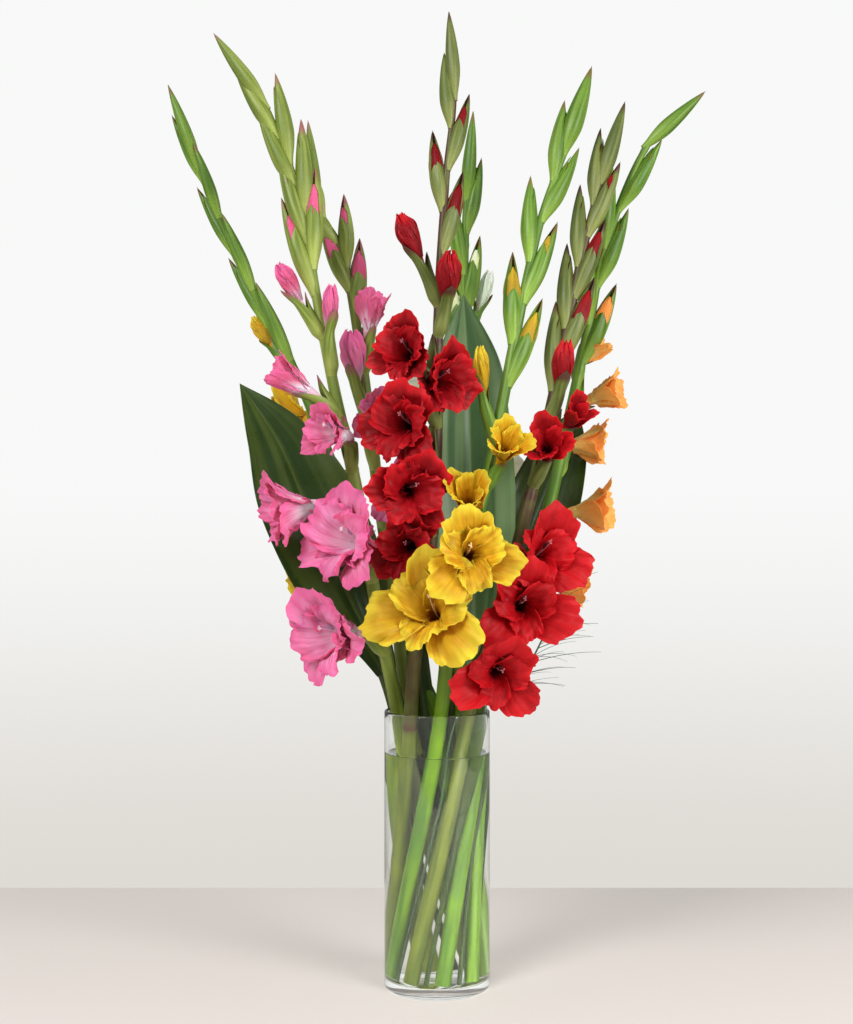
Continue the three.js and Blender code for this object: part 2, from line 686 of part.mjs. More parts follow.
function turned(profile) {
  const geometry = new THREE.LatheGeometry(profile.map(([x, z]) => new THREE.Vector2(x, z)), vase.sides);
  const { position } = geometry.rotateX(Math.PI / 2).attributes;
  const order = Array.from(geometry.index.array);
  const point = (_, i) => new THREE.Vector3().fromBufferAttribute(position, i);
  const face = (_, i) => order.slice(3 * i, 3 * i + 3);
  return solidOf(Array.from({ length: position.count }, point), Array.from({ length: order.length / 3 }, face));
}

function vaseSolid() {
  const { radius, height, wall, floor, footBevel, lipRound } = vase;
  const inside = radius - wall;
  return turned([
    [0, 0], [radius - footBevel, 0], [radius, footBevel], [radius, height - lipRound],
    [radius - lipRound, height], [inside, height - lipRound], [inside, floor + footBevel],
    [inside - footBevel, floor], [0, floor],
  ]);
}

function waterSolid() {
  const reach = vase.radius - vase.wall - gap;
  const bottom = vase.floor + gap;
  return turned([
    [0, bottom], [reach - vase.footBevel, bottom], [reach, bottom + vase.footBevel],
    [reach, waterLevel], [0, waterLevel],
  ]);
}

// ---- assembly ----

const group = new THREE.Group();
const placed = [];

function addMesh(name, solid, color, roughness, opacity = 1) {
  const { vertProperties, triVerts } = solid.getMesh();
  const geometry = new THREE.BufferGeometry();
  geometry.setAttribute("position", new THREE.Float32BufferAttribute(vertProperties, 3));
  geometry.setIndex(Array.from(triVerts));
  geometry.computeVertexNormals();
  const looks = { color, roughness, metalness: 0, opacity, transparent: opacity < 1 };
  const mesh = new THREE.Mesh(geometry, new THREE.MeshStandardMaterial(looks));
  mesh.name = name;
  group.add(mesh);
}

function boxesMeet(a, b) {
  return [0, 1, 2].every((k) => a.min[k] <= b.max[k] && b.min[k] <= a.max[k]);
}

// Adds a piece, trimmed clear of the fattened form of every piece placed before it.
function place(name, make, color, roughness) {
  let solid = make(0);
  for (const other of placed) {
    if (boxesMeet(solid.boundingBox(), other.box)) solid = solid.subtract(other.fat);
  }
  solid = largest(solid);
  const fat = make(cutGap);
  placed.push({ fat, box: fat.boundingBox() });
  addMesh(name, solid, color, roughness);
}

for (const spike of spikes) place(`${spike.name}_stem`, (grow) => spikeSolid(spike, grow), greens[spike.green], 0.55);
for (const leaf of leaves) place(leaf.name, (grow) => leafSolid(leaf, grow), greens.leaf, 0.4);
place(sprig.name, sprigSolid, greens.sprig, 0.6);
for (const spike of spikes) {
  spike.flowers.forEach((f, i) => {
    const name = `${spike.name}_flower_${i + 1}`;
    place(name, (grow) => flowerSolid(spike, f, grow), petalColours[spike.petals], 0.6);
  });
}
const water = placed.reduce((solid, other) => solid.subtract(other.fat), waterSolid());
addMesh("water", largest(water), 0xdfeef0, 0.05, 0.35);
addMesh("glass_vase", vaseSolid(), 0xe8f2f0, 0.05, 0.35);

export default group;
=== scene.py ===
import math
import bpy
import numpy as np
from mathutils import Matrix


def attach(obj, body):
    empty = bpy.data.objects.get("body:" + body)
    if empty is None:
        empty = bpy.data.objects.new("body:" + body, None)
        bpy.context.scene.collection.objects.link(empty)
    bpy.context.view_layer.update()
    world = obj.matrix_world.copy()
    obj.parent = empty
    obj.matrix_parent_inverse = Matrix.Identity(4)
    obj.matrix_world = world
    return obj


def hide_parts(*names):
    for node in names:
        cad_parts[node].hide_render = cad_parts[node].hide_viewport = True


# Cut gladiolus in a clear glass cylinder vase of water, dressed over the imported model.
# Shapes are worked out in millimetres and become metres when a mesh is made.
# +Z is up and the viewer is towards -Y.

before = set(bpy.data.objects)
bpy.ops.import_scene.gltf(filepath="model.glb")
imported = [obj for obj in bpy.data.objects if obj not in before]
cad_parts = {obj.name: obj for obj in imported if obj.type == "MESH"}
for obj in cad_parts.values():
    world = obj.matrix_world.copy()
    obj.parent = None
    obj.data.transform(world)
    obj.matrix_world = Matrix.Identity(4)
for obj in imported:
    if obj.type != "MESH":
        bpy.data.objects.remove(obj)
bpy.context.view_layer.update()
print("frame loaded:", len(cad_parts), "nodes")


# camera

camera = {"place": (-0.010, -1.5, 0.45), "pitch": 90, "lens": 55.5, "sensor": 36, "bounces": 24}
scene = bpy.context.scene
cameraData = bpy.data.cameras.new("camera")
cameraData.lens = camera["lens"]
cameraData.sensor_width = camera["sensor"]
cameraObject = bpy.data.objects.new("camera", cameraData)
cameraObject.location = camera["place"]
cameraObject.rotation_euler = (math.radians(camera["pitch"]), 0, 0)
scene.collection.objects.link(cameraObject)
scene.camera = cameraObject
scene.view_settings.view_transform = "Standard"
scene.cycles.max_bounces = camera["bounces"]
scene.cycles.transmission_bounces = camera["bounces"]


# shared arithmetic

up = np.array([0.0, 0.0, 1.0])
aside = np.array([1.0, 0.0, 0.0])
towardsViewer = np.array([0.0, -1.0, 0.0])
metres = 0.001  # in a millimetre


def lerp(a, b, t):  # a + (b - a) t
    return a + (b - a) * t


def smooth(x):  # 3x^2 - 2x^3 between 0 and 1
    x = np.clip(x, 0, 1)
    return x * x * (3 - 2 * x)


def bump(x, centre, width):  # exp(-((x - centre) / width)^2)
    return np.exp(-(((x - centre) / width) ** 2))


def unit(v):  # v / |v|
    return v / np.maximum(np.linalg.norm(v, axis=-1, keepdims=True), 1e-12)


def squareTo(along, like):  # the unit vector square to along that is nearest to like
    along = np.asarray(along, float)
    return unit(like - np.sum(like * along, -1, keepdims=True) * along)


def through(table, s):  # cubic Hermite curve through (place, value) pairs, slopes by central difference
    x, y = np.array(table, float).T
    slope = np.gradient(y, x)
    i = np.clip(np.searchsorted(x, s) - 1, 0, len(x) - 2)
    h = x[i + 1] - x[i]
    t = np.clip((s - x[i]) / h, 0, 1)
    early = (1 + 2 * t) * (1 - t) ** 2 * y[i] + t * (1 - t) ** 2 * h * slope[i]
    late = t * t * (3 - 2 * t) * y[i + 1] + t * t * (t - 1) * h * slope[i + 1]
    return early + late


def circlePoint(radius, turn, height):  # (r cos turn, r sin turn, height)
    angle = math.radians(turn)
    return np.array([radius * math.cos(angle), radius * math.sin(angle), height])


def curveThrough(points, perSpan=24):
    # centripetal Catmull-Rom: each span is the cubic with the tangents of chord lengths to the power 1/2
    p = np.asarray(points, float)
    p = np.vstack([2 * p[0] - p[1], p, 2 * p[-1] - p[-2]])
    step = np.sqrt(np.linalg.norm(np.diff(p, axis=0), axis=1))[:, None]
    x0, x1, x2, x3 = p[:-3], p[1:-2], p[2:-1], p[3:]
    d0, d1, d2 = step[:-2], step[1:-1], step[2:]
    t1 = ((x1 - x0) / d0 - (x2 - x0) / (d0 + d1) + (x2 - x1) / d1) * d1
    t2 = ((x2 - x1) / d1 - (x3 - x1) / (d1 + d2) + (x3 - x2) / d2) * d1
    w = np.linspace(0, 1, perSpan, endpoint=False)[None, :, None]
    spans = x1[:, None] + t1[:, None] * w + (3 * (x2 - x1) - 2 * t1 - t2)[:, None] * w**2
    spans = spans + (2 * (x1 - x2) + t1 + t2)[:, None] * w**3
    line = np.vstack([spans.reshape(-1, 3), p[-2]])
    return {"t": np.linspace(0, 1, len(line)), "point": line, "along": unit(np.gradient(line, axis=0))}


def readCurve(curve, t, what="point"):  # linear reading of the sampled curve
    return np.stack([np.interp(t, curve["t"], curve[what][:, k]) for k in range(3)], -1)


def reaching(curve, height):  # the curve's parameter at a height; the curve only rises
    return np.interp(height, curve["point"][:, 2], curve["t"])


def roundAngles(sides):  # even angles round a ring
    return np.arange(sides) / sides * 2 * math.pi


def ringsRound(centre, across, depth, wide, deep, angle):  # centre + across wide cos a + depth deep sin a
    x = (wide * np.cos(angle))[..., None] * np.broadcast_to(across, centre.shape)[:, None]
    y = (deep * np.sin(angle))[..., None] * np.broadcast_to(depth, centre.shape)[:, None]
    return centre[:, None] + x + y


def layoutOf(across, along):  # a sheet's layout: across from -1 to 1 becomes u from 0 to 1, along is v
    return np.stack(np.broadcast_arrays(across * 0.5 + 0.5, along), -1)


# mesh building: a part is one closed shell with a layout (u, v) and three vertex values
# tone is a random shade, tint a second colour's share, pale a lighter colour's share; on petals pale also
# lightens ridges and darkens folds, a painted light and shade


def gridQuads(rows, columns):  # corner numbers of every cell of a grid
    a = np.arange((rows - 1) * columns).reshape(rows - 1, columns)[:, :-1]
    return np.stack([a, a + 1, a + columns + 1, a + columns], -1).reshape(-1, 4)


def partOf(points, quads, layout, tone, tint, pale, material):
    # equal points are welded, cells that lose a corner become triangles, and faces are turned outwards
    points = np.asarray(points, float).reshape(-1, 3)
    spread = [np.broadcast_to(np.asarray(x, float), (len(points),)) for x in (tone, tint, pale)]
    _, first, back = np.unique(np.round(points, 4), axis=0, return_index=True, return_inverse=True)
    back = back.reshape(-1)
    corner = back[quads]
    keep = corner != np.roll(corner, 1, axis=1)
    whole = keep.sum(1) > 2
    corner, keep, quads = corner[whole], keep[whole], quads[whole]
    welded = points[first]
    p = welded[corner]
    volume = np.sum(p[:, 0] * np.cross(p[:, 1], p[:, 2])) + np.sum(p[:, 0] * np.cross(p[:, 2], p[:, 3]))
    if volume < 0:
        corner, keep, quads = corner[:, ::-1], keep[:, ::-1], quads[:, ::-1]
    return {
        "points": welded,
        "loops": corner[keep],
        "sizes": keep.sum(1),
        "layout": np.asarray(layout, float).reshape(-1, 2)[quads[keep]],
        "values": np.stack([x[first] for x in spread], -1),
        "material": material,
    }


def sheetPart(front, thick, layout, tone=0.5, tint=0.0, pale=0.0, material=0):
    # a grid of places and the same grid moved back by its thickness along the normal, closed round the rim
    rows, columns = front.shape[:2]
    normal = unit(np.cross(np.gradient(front, axis=1), np.gradient(front, axis=0)))
    offset = normal * np.broadcast_to(thick, (rows, columns))[..., None] / 2
    index = np.arange(rows * columns).reshape(rows, columns)
    edge = np.concatenate([index[0], index[1:, -1], index[-1, -2::-1], index[-2:0:-1, 0]])
    after, half = np.roll(edge, -1), rows * columns
    quads = gridQuads(rows, columns)
    rim = np.stack([after, edge, edge + half, after + half], -1)
    quads = np.vstack([quads, quads[:, ::-1] + half, rim])
    both = [np.tile(np.broadcast_to(x, (rows, columns)).ravel(), 2) for x in (tone, tint, pale)]
    flat = np.tile(layout.reshape(-1, 2), (2, 1))
    return partOf(np.stack([front + offset, front - offset]), quads, flat, *both, material)


def ringsPart(rings, layout, tone=0.5, tint=0.0, pale=0.0, material=0):
    # rings (rows, sides, 3) skinned in order, the seam closed by a copy of the first side, the ends by poles
    ends = [np.broadcast_to(r.mean(0), r.shape)[None] for r in (rings[0], rings[-1])]
    rings = np.concatenate([ends[0], rings, ends[1]])
    rings = np.concatenate([rings, rings[:, :1]], axis=1)
    rows, columns = rings.shape[:2]
    columnsOf = [np.reshape(x, (-1, 1)) if np.ndim(x) else x for x in (tone, tint, pale)]
    whole = [np.broadcast_to(x, (rows - 2, columns)) for x in columnsOf]
    values = [np.pad(x, ((1, 1), (0, 0)), mode="edge").ravel() for x in whole]
    v = np.concatenate([[layout[0]], layout, [layout[-1]]])
    u = np.linspace(0, 1, columns)
    flat = np.stack(np.broadcast_arrays(u[None, :], v[:, None]), -1)
    return partOf(rings, gridQuads(rows, columns), flat, *values, material)


def tubePart(centre, radius, sides, like=aside, deep=None, **values):
    # rings square to the line: centre + across r cos a + depth r' sin a
    along = unit(np.gradient(centre, axis=0))
    across = squareTo(along, like)
    wide = np.broadcast_to(radius, (len(centre),))[:, None]
    thin = wide if deep is None else np.broadcast_to(deep, (len(centre),))[:, None]
    rings = ringsRound(centre, across, np.cross(along, across), wide, thin, roundAngles(sides))
    length = np.concatenate([[0], np.cumsum(np.linalg.norm(np.diff(centre, axis=0), axis=1))])
    values.setdefault("layout", length / 100)
    return ringsPart(rings, **values)


def lathePart(profile, sides):  # (radius, height) pairs turned about the z axis
    profile = np.array(profile, float)
    angle = roundAngles(sides)
    parts = profile[:, :1] * np.cos(angle), profile[:, :1] * np.sin(angle), profile[:, 1:]
    return ringsPart(np.stack(np.broadcast_arrays(*parts), -1), layout=np.linspace(0, 1, len(profile)))


def makePiece(name, parts, materials, slotName, *nodes, sharp=50):
    # every part goes into one mesh, with its layout as a UV map and its values as attributes
    sizes = np.concatenate([p["sizes"] for p in parts])
    starts = np.concatenate([[0], np.cumsum(sizes)[:-1]])
    counts = [len(p["points"]) for p in parts]
    offsets = np.concatenate([[0], np.cumsum(counts)[:-1]])
    loops = np.concatenate([p["loops"] + o for p, o in zip(parts, offsets)])
    mesh = bpy.data.meshes.new(name)
    mesh.vertices.add(sum(counts))
    mesh.loops.add(len(loops))
    mesh.polygons.add(len(sizes))
    points = np.concatenate([p["points"] for p in parts]).astype(np.float32)
    mesh.vertices.foreach_set("co", points.ravel() * metres)
    mesh.loops.foreach_set("vertex_index", loops.astype(np.int32))
    mesh.polygons.foreach_set("loop_start", starts.astype(np.int32))
    which = np.repeat([p["material"] for p in parts], [len(p["sizes"]) for p in parts])
    mesh.polygons.foreach_set("material_index", which.astype(np.int32))
    mesh.polygons.foreach_set("use_smooth", np.ones(len(sizes), bool))
    mesh.update(calc_edges=True)
    flat = mesh.uv_layers.new(name="layout")
    flat.data.foreach_set("uv", np.concatenate([p["layout"] for p in parts]).astype(np.float32).ravel())
    values = np.concatenate([p["values"] for p in parts]).astype(np.float32)
    for k, valueName in enumerate(("tone", "tint", "pale")):
        mesh.attributes.new(valueName, "FLOAT", "POINT").data.foreach_set("value", values[:, k].copy())
    mesh.set_sharp_from_angle(angle=math.radians(sharp))
    for material in materials:
        mesh.materials.append(material)
    piece = bpy.data.objects.new(name, mesh)
    scene.collection.objects.link(piece)
    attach(piece, "root")
    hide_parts(*nodes)
    return piece


# materials


def colour(text):  # "rrggbb" as linear colour
    c = np.array([int(text[i:i + 2], 16) / 255 for i in (0, 2, 4)])
    c = np.where(c <= 0.04045, c / 12.92, ((c + 0.055) / 1.055) ** 2.4)
    return (*c, 1.0)


def addNode(tree, kind, inputs=None, **settings):
    node = tree.nodes.new("ShaderNode" + kind)
    for key, value in settings.items():
        setattr(node, key, value)
    for key, value in (inputs or {}).items():
        if isinstance(value, bpy.types.NodeSocket):
            tree.links.new(value, node.inputs[key])
        else:
            node.inputs[key].default_value = value
    return node


def mathNode(tree, operation, *values):
    return addNode(tree, "Math", dict(enumerate(values)), operation=operation).outputs[0]


def weighted(tree, shares, **values):  # shares["least"] + the sum of each value times its share
    total = shares["least"]
    for name, value in values.items():
        total = mathNode(tree, "MULTIPLY_ADD", value, shares[name], total)
    return total


def mixNode(tree, share, a, b):
    return addNode(tree, "Mix", {0: share, 6: a, 7: b}, data_type="RGBA").outputs[2]


def rangeNode(tree, value, low, high, toLow=0.0, toHigh=1.0):
    inputs = {"Value": value, "From Min": low, "From Max": high, "To Min": toLow, "To Max": toHigh}
    return addNode(tree, "MapRange", inputs, interpolation_type="SMOOTHSTEP").outputs[0]


def vertexValue(tree, name):
    return addNode(tree, "Attribute", attribute_name=name).outputs["Fac"]


def newMaterial(name):
    material = bpy.data.materials.new(name)
    material.use_nodes = True
    return material, material.node_tree, material.node_tree.nodes["Principled BSDF"]


def newGroup(name, colours, numbers):
    # a node group with the named inputs, and the outputs Colour, Height and Roughness
    group = bpy.data.node_groups.new(name, "ShaderNodeTree")
    sockets = [(x, "INPUT", "Color") for x in colours] + [(x, "INPUT", "Float") for x in numbers]
    sockets.append(("Colour", "OUTPUT", "Color"))
    sockets += [(x, "OUTPUT", "Float") for x in ("Height", "Roughness")]
    for socket, way, kind in sockets:
        group.interface.new_socket(socket, in_out=way, socket_type="NodeSocket" + kind)
    return group, group.nodes.new("NodeGroupInput").outputs, group.nodes.new("NodeGroupOutput").inputs


def streaks(tree, frequency, stretch, detail):
    # noise drawn out along the layout's v, different for every part by its tone
    flat = addNode(tree, "SeparateXYZ", {0: addNode(tree, "UVMap", uv_map="layout").outputs[0]}).outputs
    tone = vertexValue(tree, "tone")
    place = addNode(tree, "CombineXYZ", {
        0: mathNode(tree, "MULTIPLY", flat[0], frequency),
        1: mathNode(tree, "MULTIPLY", flat[1], stretch),
        2: mathNode(tree, "MULTIPLY", tone, 37.0),
    }).outputs[0]
    noise = addNode(tree, "TexNoise", {"Vector": place, "Scale": 1.0, "Detail": detail}).outputs["Fac"]
    return noise, flat[1], tone


def objectNoise(tree, scale, detail):
    place = addNode(tree, "TexCoord").outputs["Object"]
    return addNode(tree, "TexNoise", {"Vector": place, "Scale": scale, "Detail": detail}).outputs["Fac"]


petalInputs = ("Body", "Throat", "Edge", "Vein", "Accent", "Throat Reach", "Edge Reach", "Vein Strength")
petalPattern = {
    "fine": (46.0, 1.6, 2.0),  # streaks: frequency, stretch and detail
    "broad": (9.0, 1.2, 2.0),
    "mottle": (70.0, 3.0),  # noise: scale and detail
    "crinkle": (420.0, 4.0),
    "veins": (0.42, 0.68),
    "place": {"least": -0.15, "broad": 0.3, "along": 1.0},
    "edgeEnd": 1.02,
    "throatStart": 0.02,
    # pale is painted light on petal ridges and painted shade in the folds between
    "light": {"least": 0.62, "tone": 0.2, "mottle": 0.2, "pale": 0.4},
    "height": {"least": 0.0, "fine": 0.6, "crinkle": 0.4},
    "roughness": (0.3, 0.7, 0.42, 0.62),
}
greenInputs = ("Body", "Light", "Tip", "Streaks", "Contrast", "Gloss")
greenPattern = {
    "fine": (15.0, 1.0, 1.0),
    "broad": (6.0, 1.2, 1.0),
    "mottle": (38.0, 3.0),
    "grain": (180.0, 1.0),
    "bands": (0.38, 0.66),
    "lines": (0.5, 0.72),
    "paleShare": 0.8,
    "worn": {"least": -0.75, "tint": 1.3, "mottle": 0.9},
    "wornRange": (0.1, 0.75),
    "light": {"least": 0.62, "tone": 0.26, "mottle": 0.34},
    "lowDownUntil": (0.17, 0.34),  # metres up
    # brightness at the bottom: a painted shade on the stems low in the vase
    "lowPaintedShade": 0.86,
    "wetDepth": 1.28,
    "height": {"least": 0.0, "fine": 0.8, "grain": 0.2},
    "roughness": {"least": -0.12, "mottle": 0.24, "gloss": 1.0},
}


def makePetalPaint():
    # colour runs throat, body, edge along v; veins fan out along v; tint brings in the accent; pale raises
    # the brightness on ridges and lowers it in folds, a painted light and shade
    look = petalPattern
    group, given, out = newGroup("petalPaint", petalInputs[:5], petalInputs[5:])
    fine, along, tone = streaks(group, *look["fine"])
    broad = streaks(group, *look["broad"])[0]
    mottle = objectNoise(group, *look["mottle"])
    crinkle = objectNoise(group, *look["crinkle"])
    vein = mathNode(group, "MULTIPLY", rangeNode(group, fine, *look["veins"]), given["Vein Strength"])
    base = mixNode(group, vein, given["Body"], given["Vein"])
    base = mixNode(group, vertexValue(group, "tint"), base, given["Accent"])
    place = weighted(group, look["place"], broad=broad, along=along)
    edgeStart = mathNode(group, "SUBTRACT", 1.0, given["Edge Reach"])
    base = mixNode(group, rangeNode(group, place, edgeStart, look["edgeEnd"]), base, given["Edge"])
    # the throat colour near the base is partly the flower's own throat colour and partly painted shade deep
    # in the throat, where it is dark
    throat = rangeNode(group, place, look["throatStart"], given["Throat Reach"], 1.0, 0.0)
    base = mixNode(group, throat, base, given["Throat"])
    # painted light and shade: pale raises the brightness on the ridges and lowers it in the folds
    light = weighted(group, look["light"], tone=tone, mottle=mottle, pale=vertexValue(group, "pale"))
    base = addNode(group, "HueSaturation", {"Value": light, "Color": base}).outputs[0]
    group.links.new(base, out["Colour"])
    group.links.new(weighted(group, look["height"], fine=fine, crinkle=crinkle), out["Height"])
    group.links.new(rangeNode(group, mottle, *look["roughness"]), out["Roughness"])
    return group


def makeGreenPaint():
    # bands and fine lines of a lighter green, lighter still where pale, tip colour where tint says
    # and in worn spots; towards the bottom, from 0.34 m down to 0.17 m, deeper in colour and darker, the
    # darkening a painted shade
    look = greenPattern
    group, given, out = newGroup("greenPaint", greenInputs[:3], greenInputs[3:])
    fine, _, tone = streaks(group, *look["fine"])
    broad = streaks(group, *look["broad"])[0]
    mottle = objectNoise(group, *look["mottle"])
    grain = objectNoise(group, *look["grain"])
    bands = mathNode(group, "MULTIPLY", rangeNode(group, broad, *look["bands"]), given["Contrast"])
    base = mixNode(group, bands, given["Body"], given["Light"])
    thin = mathNode(group, "MULTIPLY", rangeNode(group, fine, *look["lines"]), given["Streaks"])
    base = mixNode(group, thin, base, given["Light"])
    pale = mathNode(group, "MULTIPLY", vertexValue(group, "pale"), look["paleShare"])
    base = mixNode(group, pale, base, given["Light"])
    worn = weighted(group, look["worn"], tint=vertexValue(group, "tint"), mottle=mottle)
    base = mixNode(group, rangeNode(group, worn, *look["wornRange"]), base, given["Tip"])
    level = addNode(group, "SeparateXYZ", {0: addNode(group, "TexCoord").outputs["Object"]}).outputs[2]
    light = weighted(group, look["light"], tone=tone, mottle=mottle)
    # painted shade: the stems darken towards the bottom of the vase
    lowShade = rangeNode(group, level, *look["lowDownUntil"], look["lowPaintedShade"], 1.0)
    light = mathNode(group, "MULTIPLY", light, lowShade)
    depth = rangeNode(group, level, *look["lowDownUntil"], look["wetDepth"], 1.0)
    base = addNode(group, "HueSaturation", {"Saturation": depth, "Value": light, "Color": base}).outputs[0]
    group.links.new(base, out["Colour"])
    group.links.new(weighted(group, look["height"], fine=fine, grain=grain), out["Height"])
    group.links.new(weighted(group, look["roughness"], mottle=mottle, gloss=given["Gloss"]), out["Roughness"])
    return group


petalPaint = makePetalPaint()
greenPaint = makeGreenPaint()


def paintedMaterial(name, group, look, bumpStrength, shader):
    # the group's colour, roughness and height on one Principled shader; look is in the order of its inputs
    material, tree, principled = newMaterial(name)
    paint = tree.nodes.new("ShaderNodeGroup")
    paint.node_tree = group
    for socket, value in zip(paint.inputs, look, strict=True):
        socket.default_value = colour(value) if isinstance(value, str) else value
    height = paint.outputs["Height"]
    surface = addNode(tree, "Bump", {"Strength": bumpStrength, "Distance": metres, "Height": height})
    tree.links.new(paint.outputs["Colour"], principled.inputs["Base Color"])
    tree.links.new(paint.outputs["Roughness"], principled.inputs["Roughness"])
    tree.links.new(surface.outputs[0], principled.inputs["Normal"])
    for key, value in shader.items():
        principled.inputs[key].default_value = value
    return material


petalShader = {
    "Subsurface Weight": 0.5,
    "Subsurface Radius": (0.005, 0.0024, 0.002),
    "Subsurface Scale": 0.8,
    "Specular IOR Level": 0.16,
}
greenShader = {
    "Specular IOR Level": 0.3,
    "Subsurface Weight": 0.1,
    "Subsurface Radius": (0.002, 0.003, 0.001),
    "Subsurface Scale": 0.4,
}
stamenShader = {"Subsurface Weight": 0.2, "Subsurface Scale": 0.3}
relief = {"petal": 0.7, "green": 0.08, "stamen": 0.2}
petalLooks = {  # in the order of petalInputs
    # the dark throat colours of red, brightRed and yellow are partly the throat's own colour and partly
    # painted shade in the throat
    "red": ("a80b16", "30020a", "ba101a", "76050e", "6a050d", 0.42, 0.2, 0.5),
    "brightRed": ("b20c15", "640618", "c2121b", "880813", "6a050d", 0.36, 0.24, 0.4),
    "pink": ("e98cb2", "fbe6ee", "de5c8e", "cc4c80", "c64468", 0.66, 0.36, 0.6),
    "yellow": ("ce9c1a", "96560e", "dcba2e", "b47410", "a38a24", 0.34, 0.24, 0.6),
    "orange": ("ffba68", "ffd47c", "fe9c4a", "fca250", "f88c3e", 0.3, 0.5, 0.5),
    "cream": ("eef0cf", "c9d489", "f6f4e2", "dde3b0", "dfe9a8", 0.3, 0.3, 0.4),
}
greenLooks = {  # in the order of greenInputs
    "fresh": ("4e741f", "8fb044", "75632f", 0.2, 0.46, 0.4),
    "olive": ("65782a", "a6b25a", "96605a", 0.2, 0.46, 0.42),
    "bronze": ("56642b", "8e9450", "503224", 0.2, 0.46, 0.42),
    "leaf": ("2a4119", "566628", "5d7030", 0.3, 0.45, 0.3),
    "paleLeaf": ("46683c", "84a06c", "6b8a55", 0.3, 0.7, 0.34),
    "sprig": ("344a30", "5a7050", "5a5a3c", 0.2, 0.4, 0.5),
}
stamenLooks = {  # in the same order
    "red": ("8e3a44", "b87078", "2c0a12", 0.2, 0.3, 0.5),
    "pink": ("f2d5e0", "fff0f4", "b79ac0", 0.2, 0.3, 0.5),
    "yellow": ("e2b765", "f3dca0", "9a5a22", 0.2, 0.3, 0.5),
    "orange": ("eec080", "f8dcae", "b3702e", 0.2, 0.3, 0.5),
    "cream": ("eceacb", "f6f5e4", "b3a67c", 0.2, 0.3, 0.5),
}


def paintedSet(kind, group, looks, shader):
    return {k: paintedMaterial(f"{kind}_{k}", group, v, relief[kind], shader) for k, v in looks.items()}


petalMaterials = paintedSet("petal", petalPaint, petalLooks, petalShader)
greenMaterials = paintedSet("green", greenPaint, greenLooks, greenShader)
stamenMaterials = paintedSet("stamen", greenPaint, stamenLooks, stamenShader)
print("materials made")


# the vase, its water, and where stems stand in it

vase = {
    "radius": 50, "height": 262, "wall": 3, "floor": 9, "footBevel": 2.5, "lip": 1.5, "sides": 144,
    "hollowFoot": [(0, 0.6), (0.6, 0.6), (0.86, 0.25), (0.9, 0)],  # shares of the radius, and heights
    "floorRound": 5, "clearOfFoot": 6, "clearOfLip": 8, "clearOfFloor": 8, "floorSag": [(0.5, 0.4), (0, 0.6)],
}
water = {"level": 221, "overlap": 0.1, "meniscus": 1.8, "meniscusWidth": 2.25, "sink": 0.5, "floorRound": 5,
         "floorRise": [(0, -0.2), (0.5, 0)], "clearOfFloor": 12, "clearOfTop": 3, "rings": 40}
bunch = {"footRadius": 36.5, "rimRadius": 38, "twist": 88, "footLift": 2.2}
glassLook = {"index": 1.5, "tint": "fafdfb", "roughness": 0.0, "wobble": 0.02, "scale": 14.0}
waterLook = {"index": 1.333, "tint": "f9fdf8", "roughness": 0.0, "wobble": 0.01, "scale": 22.0}


def clearMaterial(name, index, tint, roughness, wobble, scale):
    # clear and smooth, with the faint unevenness of drawn glass or still water in tint and surface
    material, tree, principled = newMaterial(name)
    noise = objectNoise(tree, scale, 1.0)
    shade = mixNode(tree, noise, colour(tint), (1, 1, 1, 1))
    surface = addNode(tree, "Bump", {"Strength": wobble, "Distance": metres, "Height": noise})
    tree.links.new(shade, principled.inputs["Base Color"])
    tree.links.new(surface.outputs[0], principled.inputs["Normal"])
    principled.inputs["Transmission Weight"].default_value = 1.0
    principled.inputs["Roughness"].default_value = roughness
    principled.inputs["IOR"].default_value = index
    return material


def roundCorner(centre, radius, fromTurn, toTurn, steps=6):  # an arc of (radius, height) pairs
    angle = np.radians(np.linspace(fromTurn, toTurn, steps))
    return np.stack([centre[0] + radius * np.cos(angle), centre[1] + radius * np.sin(angle)], -1)


def upright(radius, low, high, rows):  # a straight wall of (radius, height) pairs
    return np.stack([np.full(rows, radius), np.linspace(low, high, rows)], -1)


def vaseProfile():
    # foot, outer wall, rounded lip, inner wall and thick rounded floor, from axis to axis
    r, h, bevel, lip, bend = (vase[k] for k in ("radius", "height", "footBevel", "lip", "floorRound"))
    inside, base, high = r - vase["wall"], vase["floor"], h - vase["clearOfLip"]
    return np.vstack([
        [(r * share, height) for share, height in vase["hollowFoot"]],
        roundCorner((r - bevel, bevel), bevel, -90, 0),
        upright(r, bevel + vase["clearOfFoot"], high, 12),
        roundCorner((r - lip, h - lip), lip, 0, 180, 11),
        upright(inside, high, base + vase["clearOfFloor"], 12),
        roundCorner((inside - bend, base + bend), bend, 0, -90),
        [(inside * share, base - sag) for share, sag in vase["floorSag"]],
    ])


def waterProfile():
    # floor and wall just inside the glass; the surface climbs the wall as level + rise exp(-distance / width)
    reach, bend = vase["radius"] - vase["wall"] + water["overlap"], water["floorRound"]
    bottom = vase["floor"] - water["sink"]
    r = reach * np.sqrt(np.linspace(1, 0, water["rings"]))
    height = water["level"] + water["meniscus"] * np.exp(-(reach - r) / water["meniscusWidth"])
    return np.vstack([
        [(reach * share, bottom + rise) for share, rise in water["floorRise"]],
        [(reach - bend, bottom + 0.4)],
        roundCorner((reach - bend, bottom + bend + 0.4), bend, -80, 0),
        upright(reach, bottom + water["clearOfFloor"], water["level"] - water["clearOfTop"], 10),
        np.stack([r, height], -1),
    ])


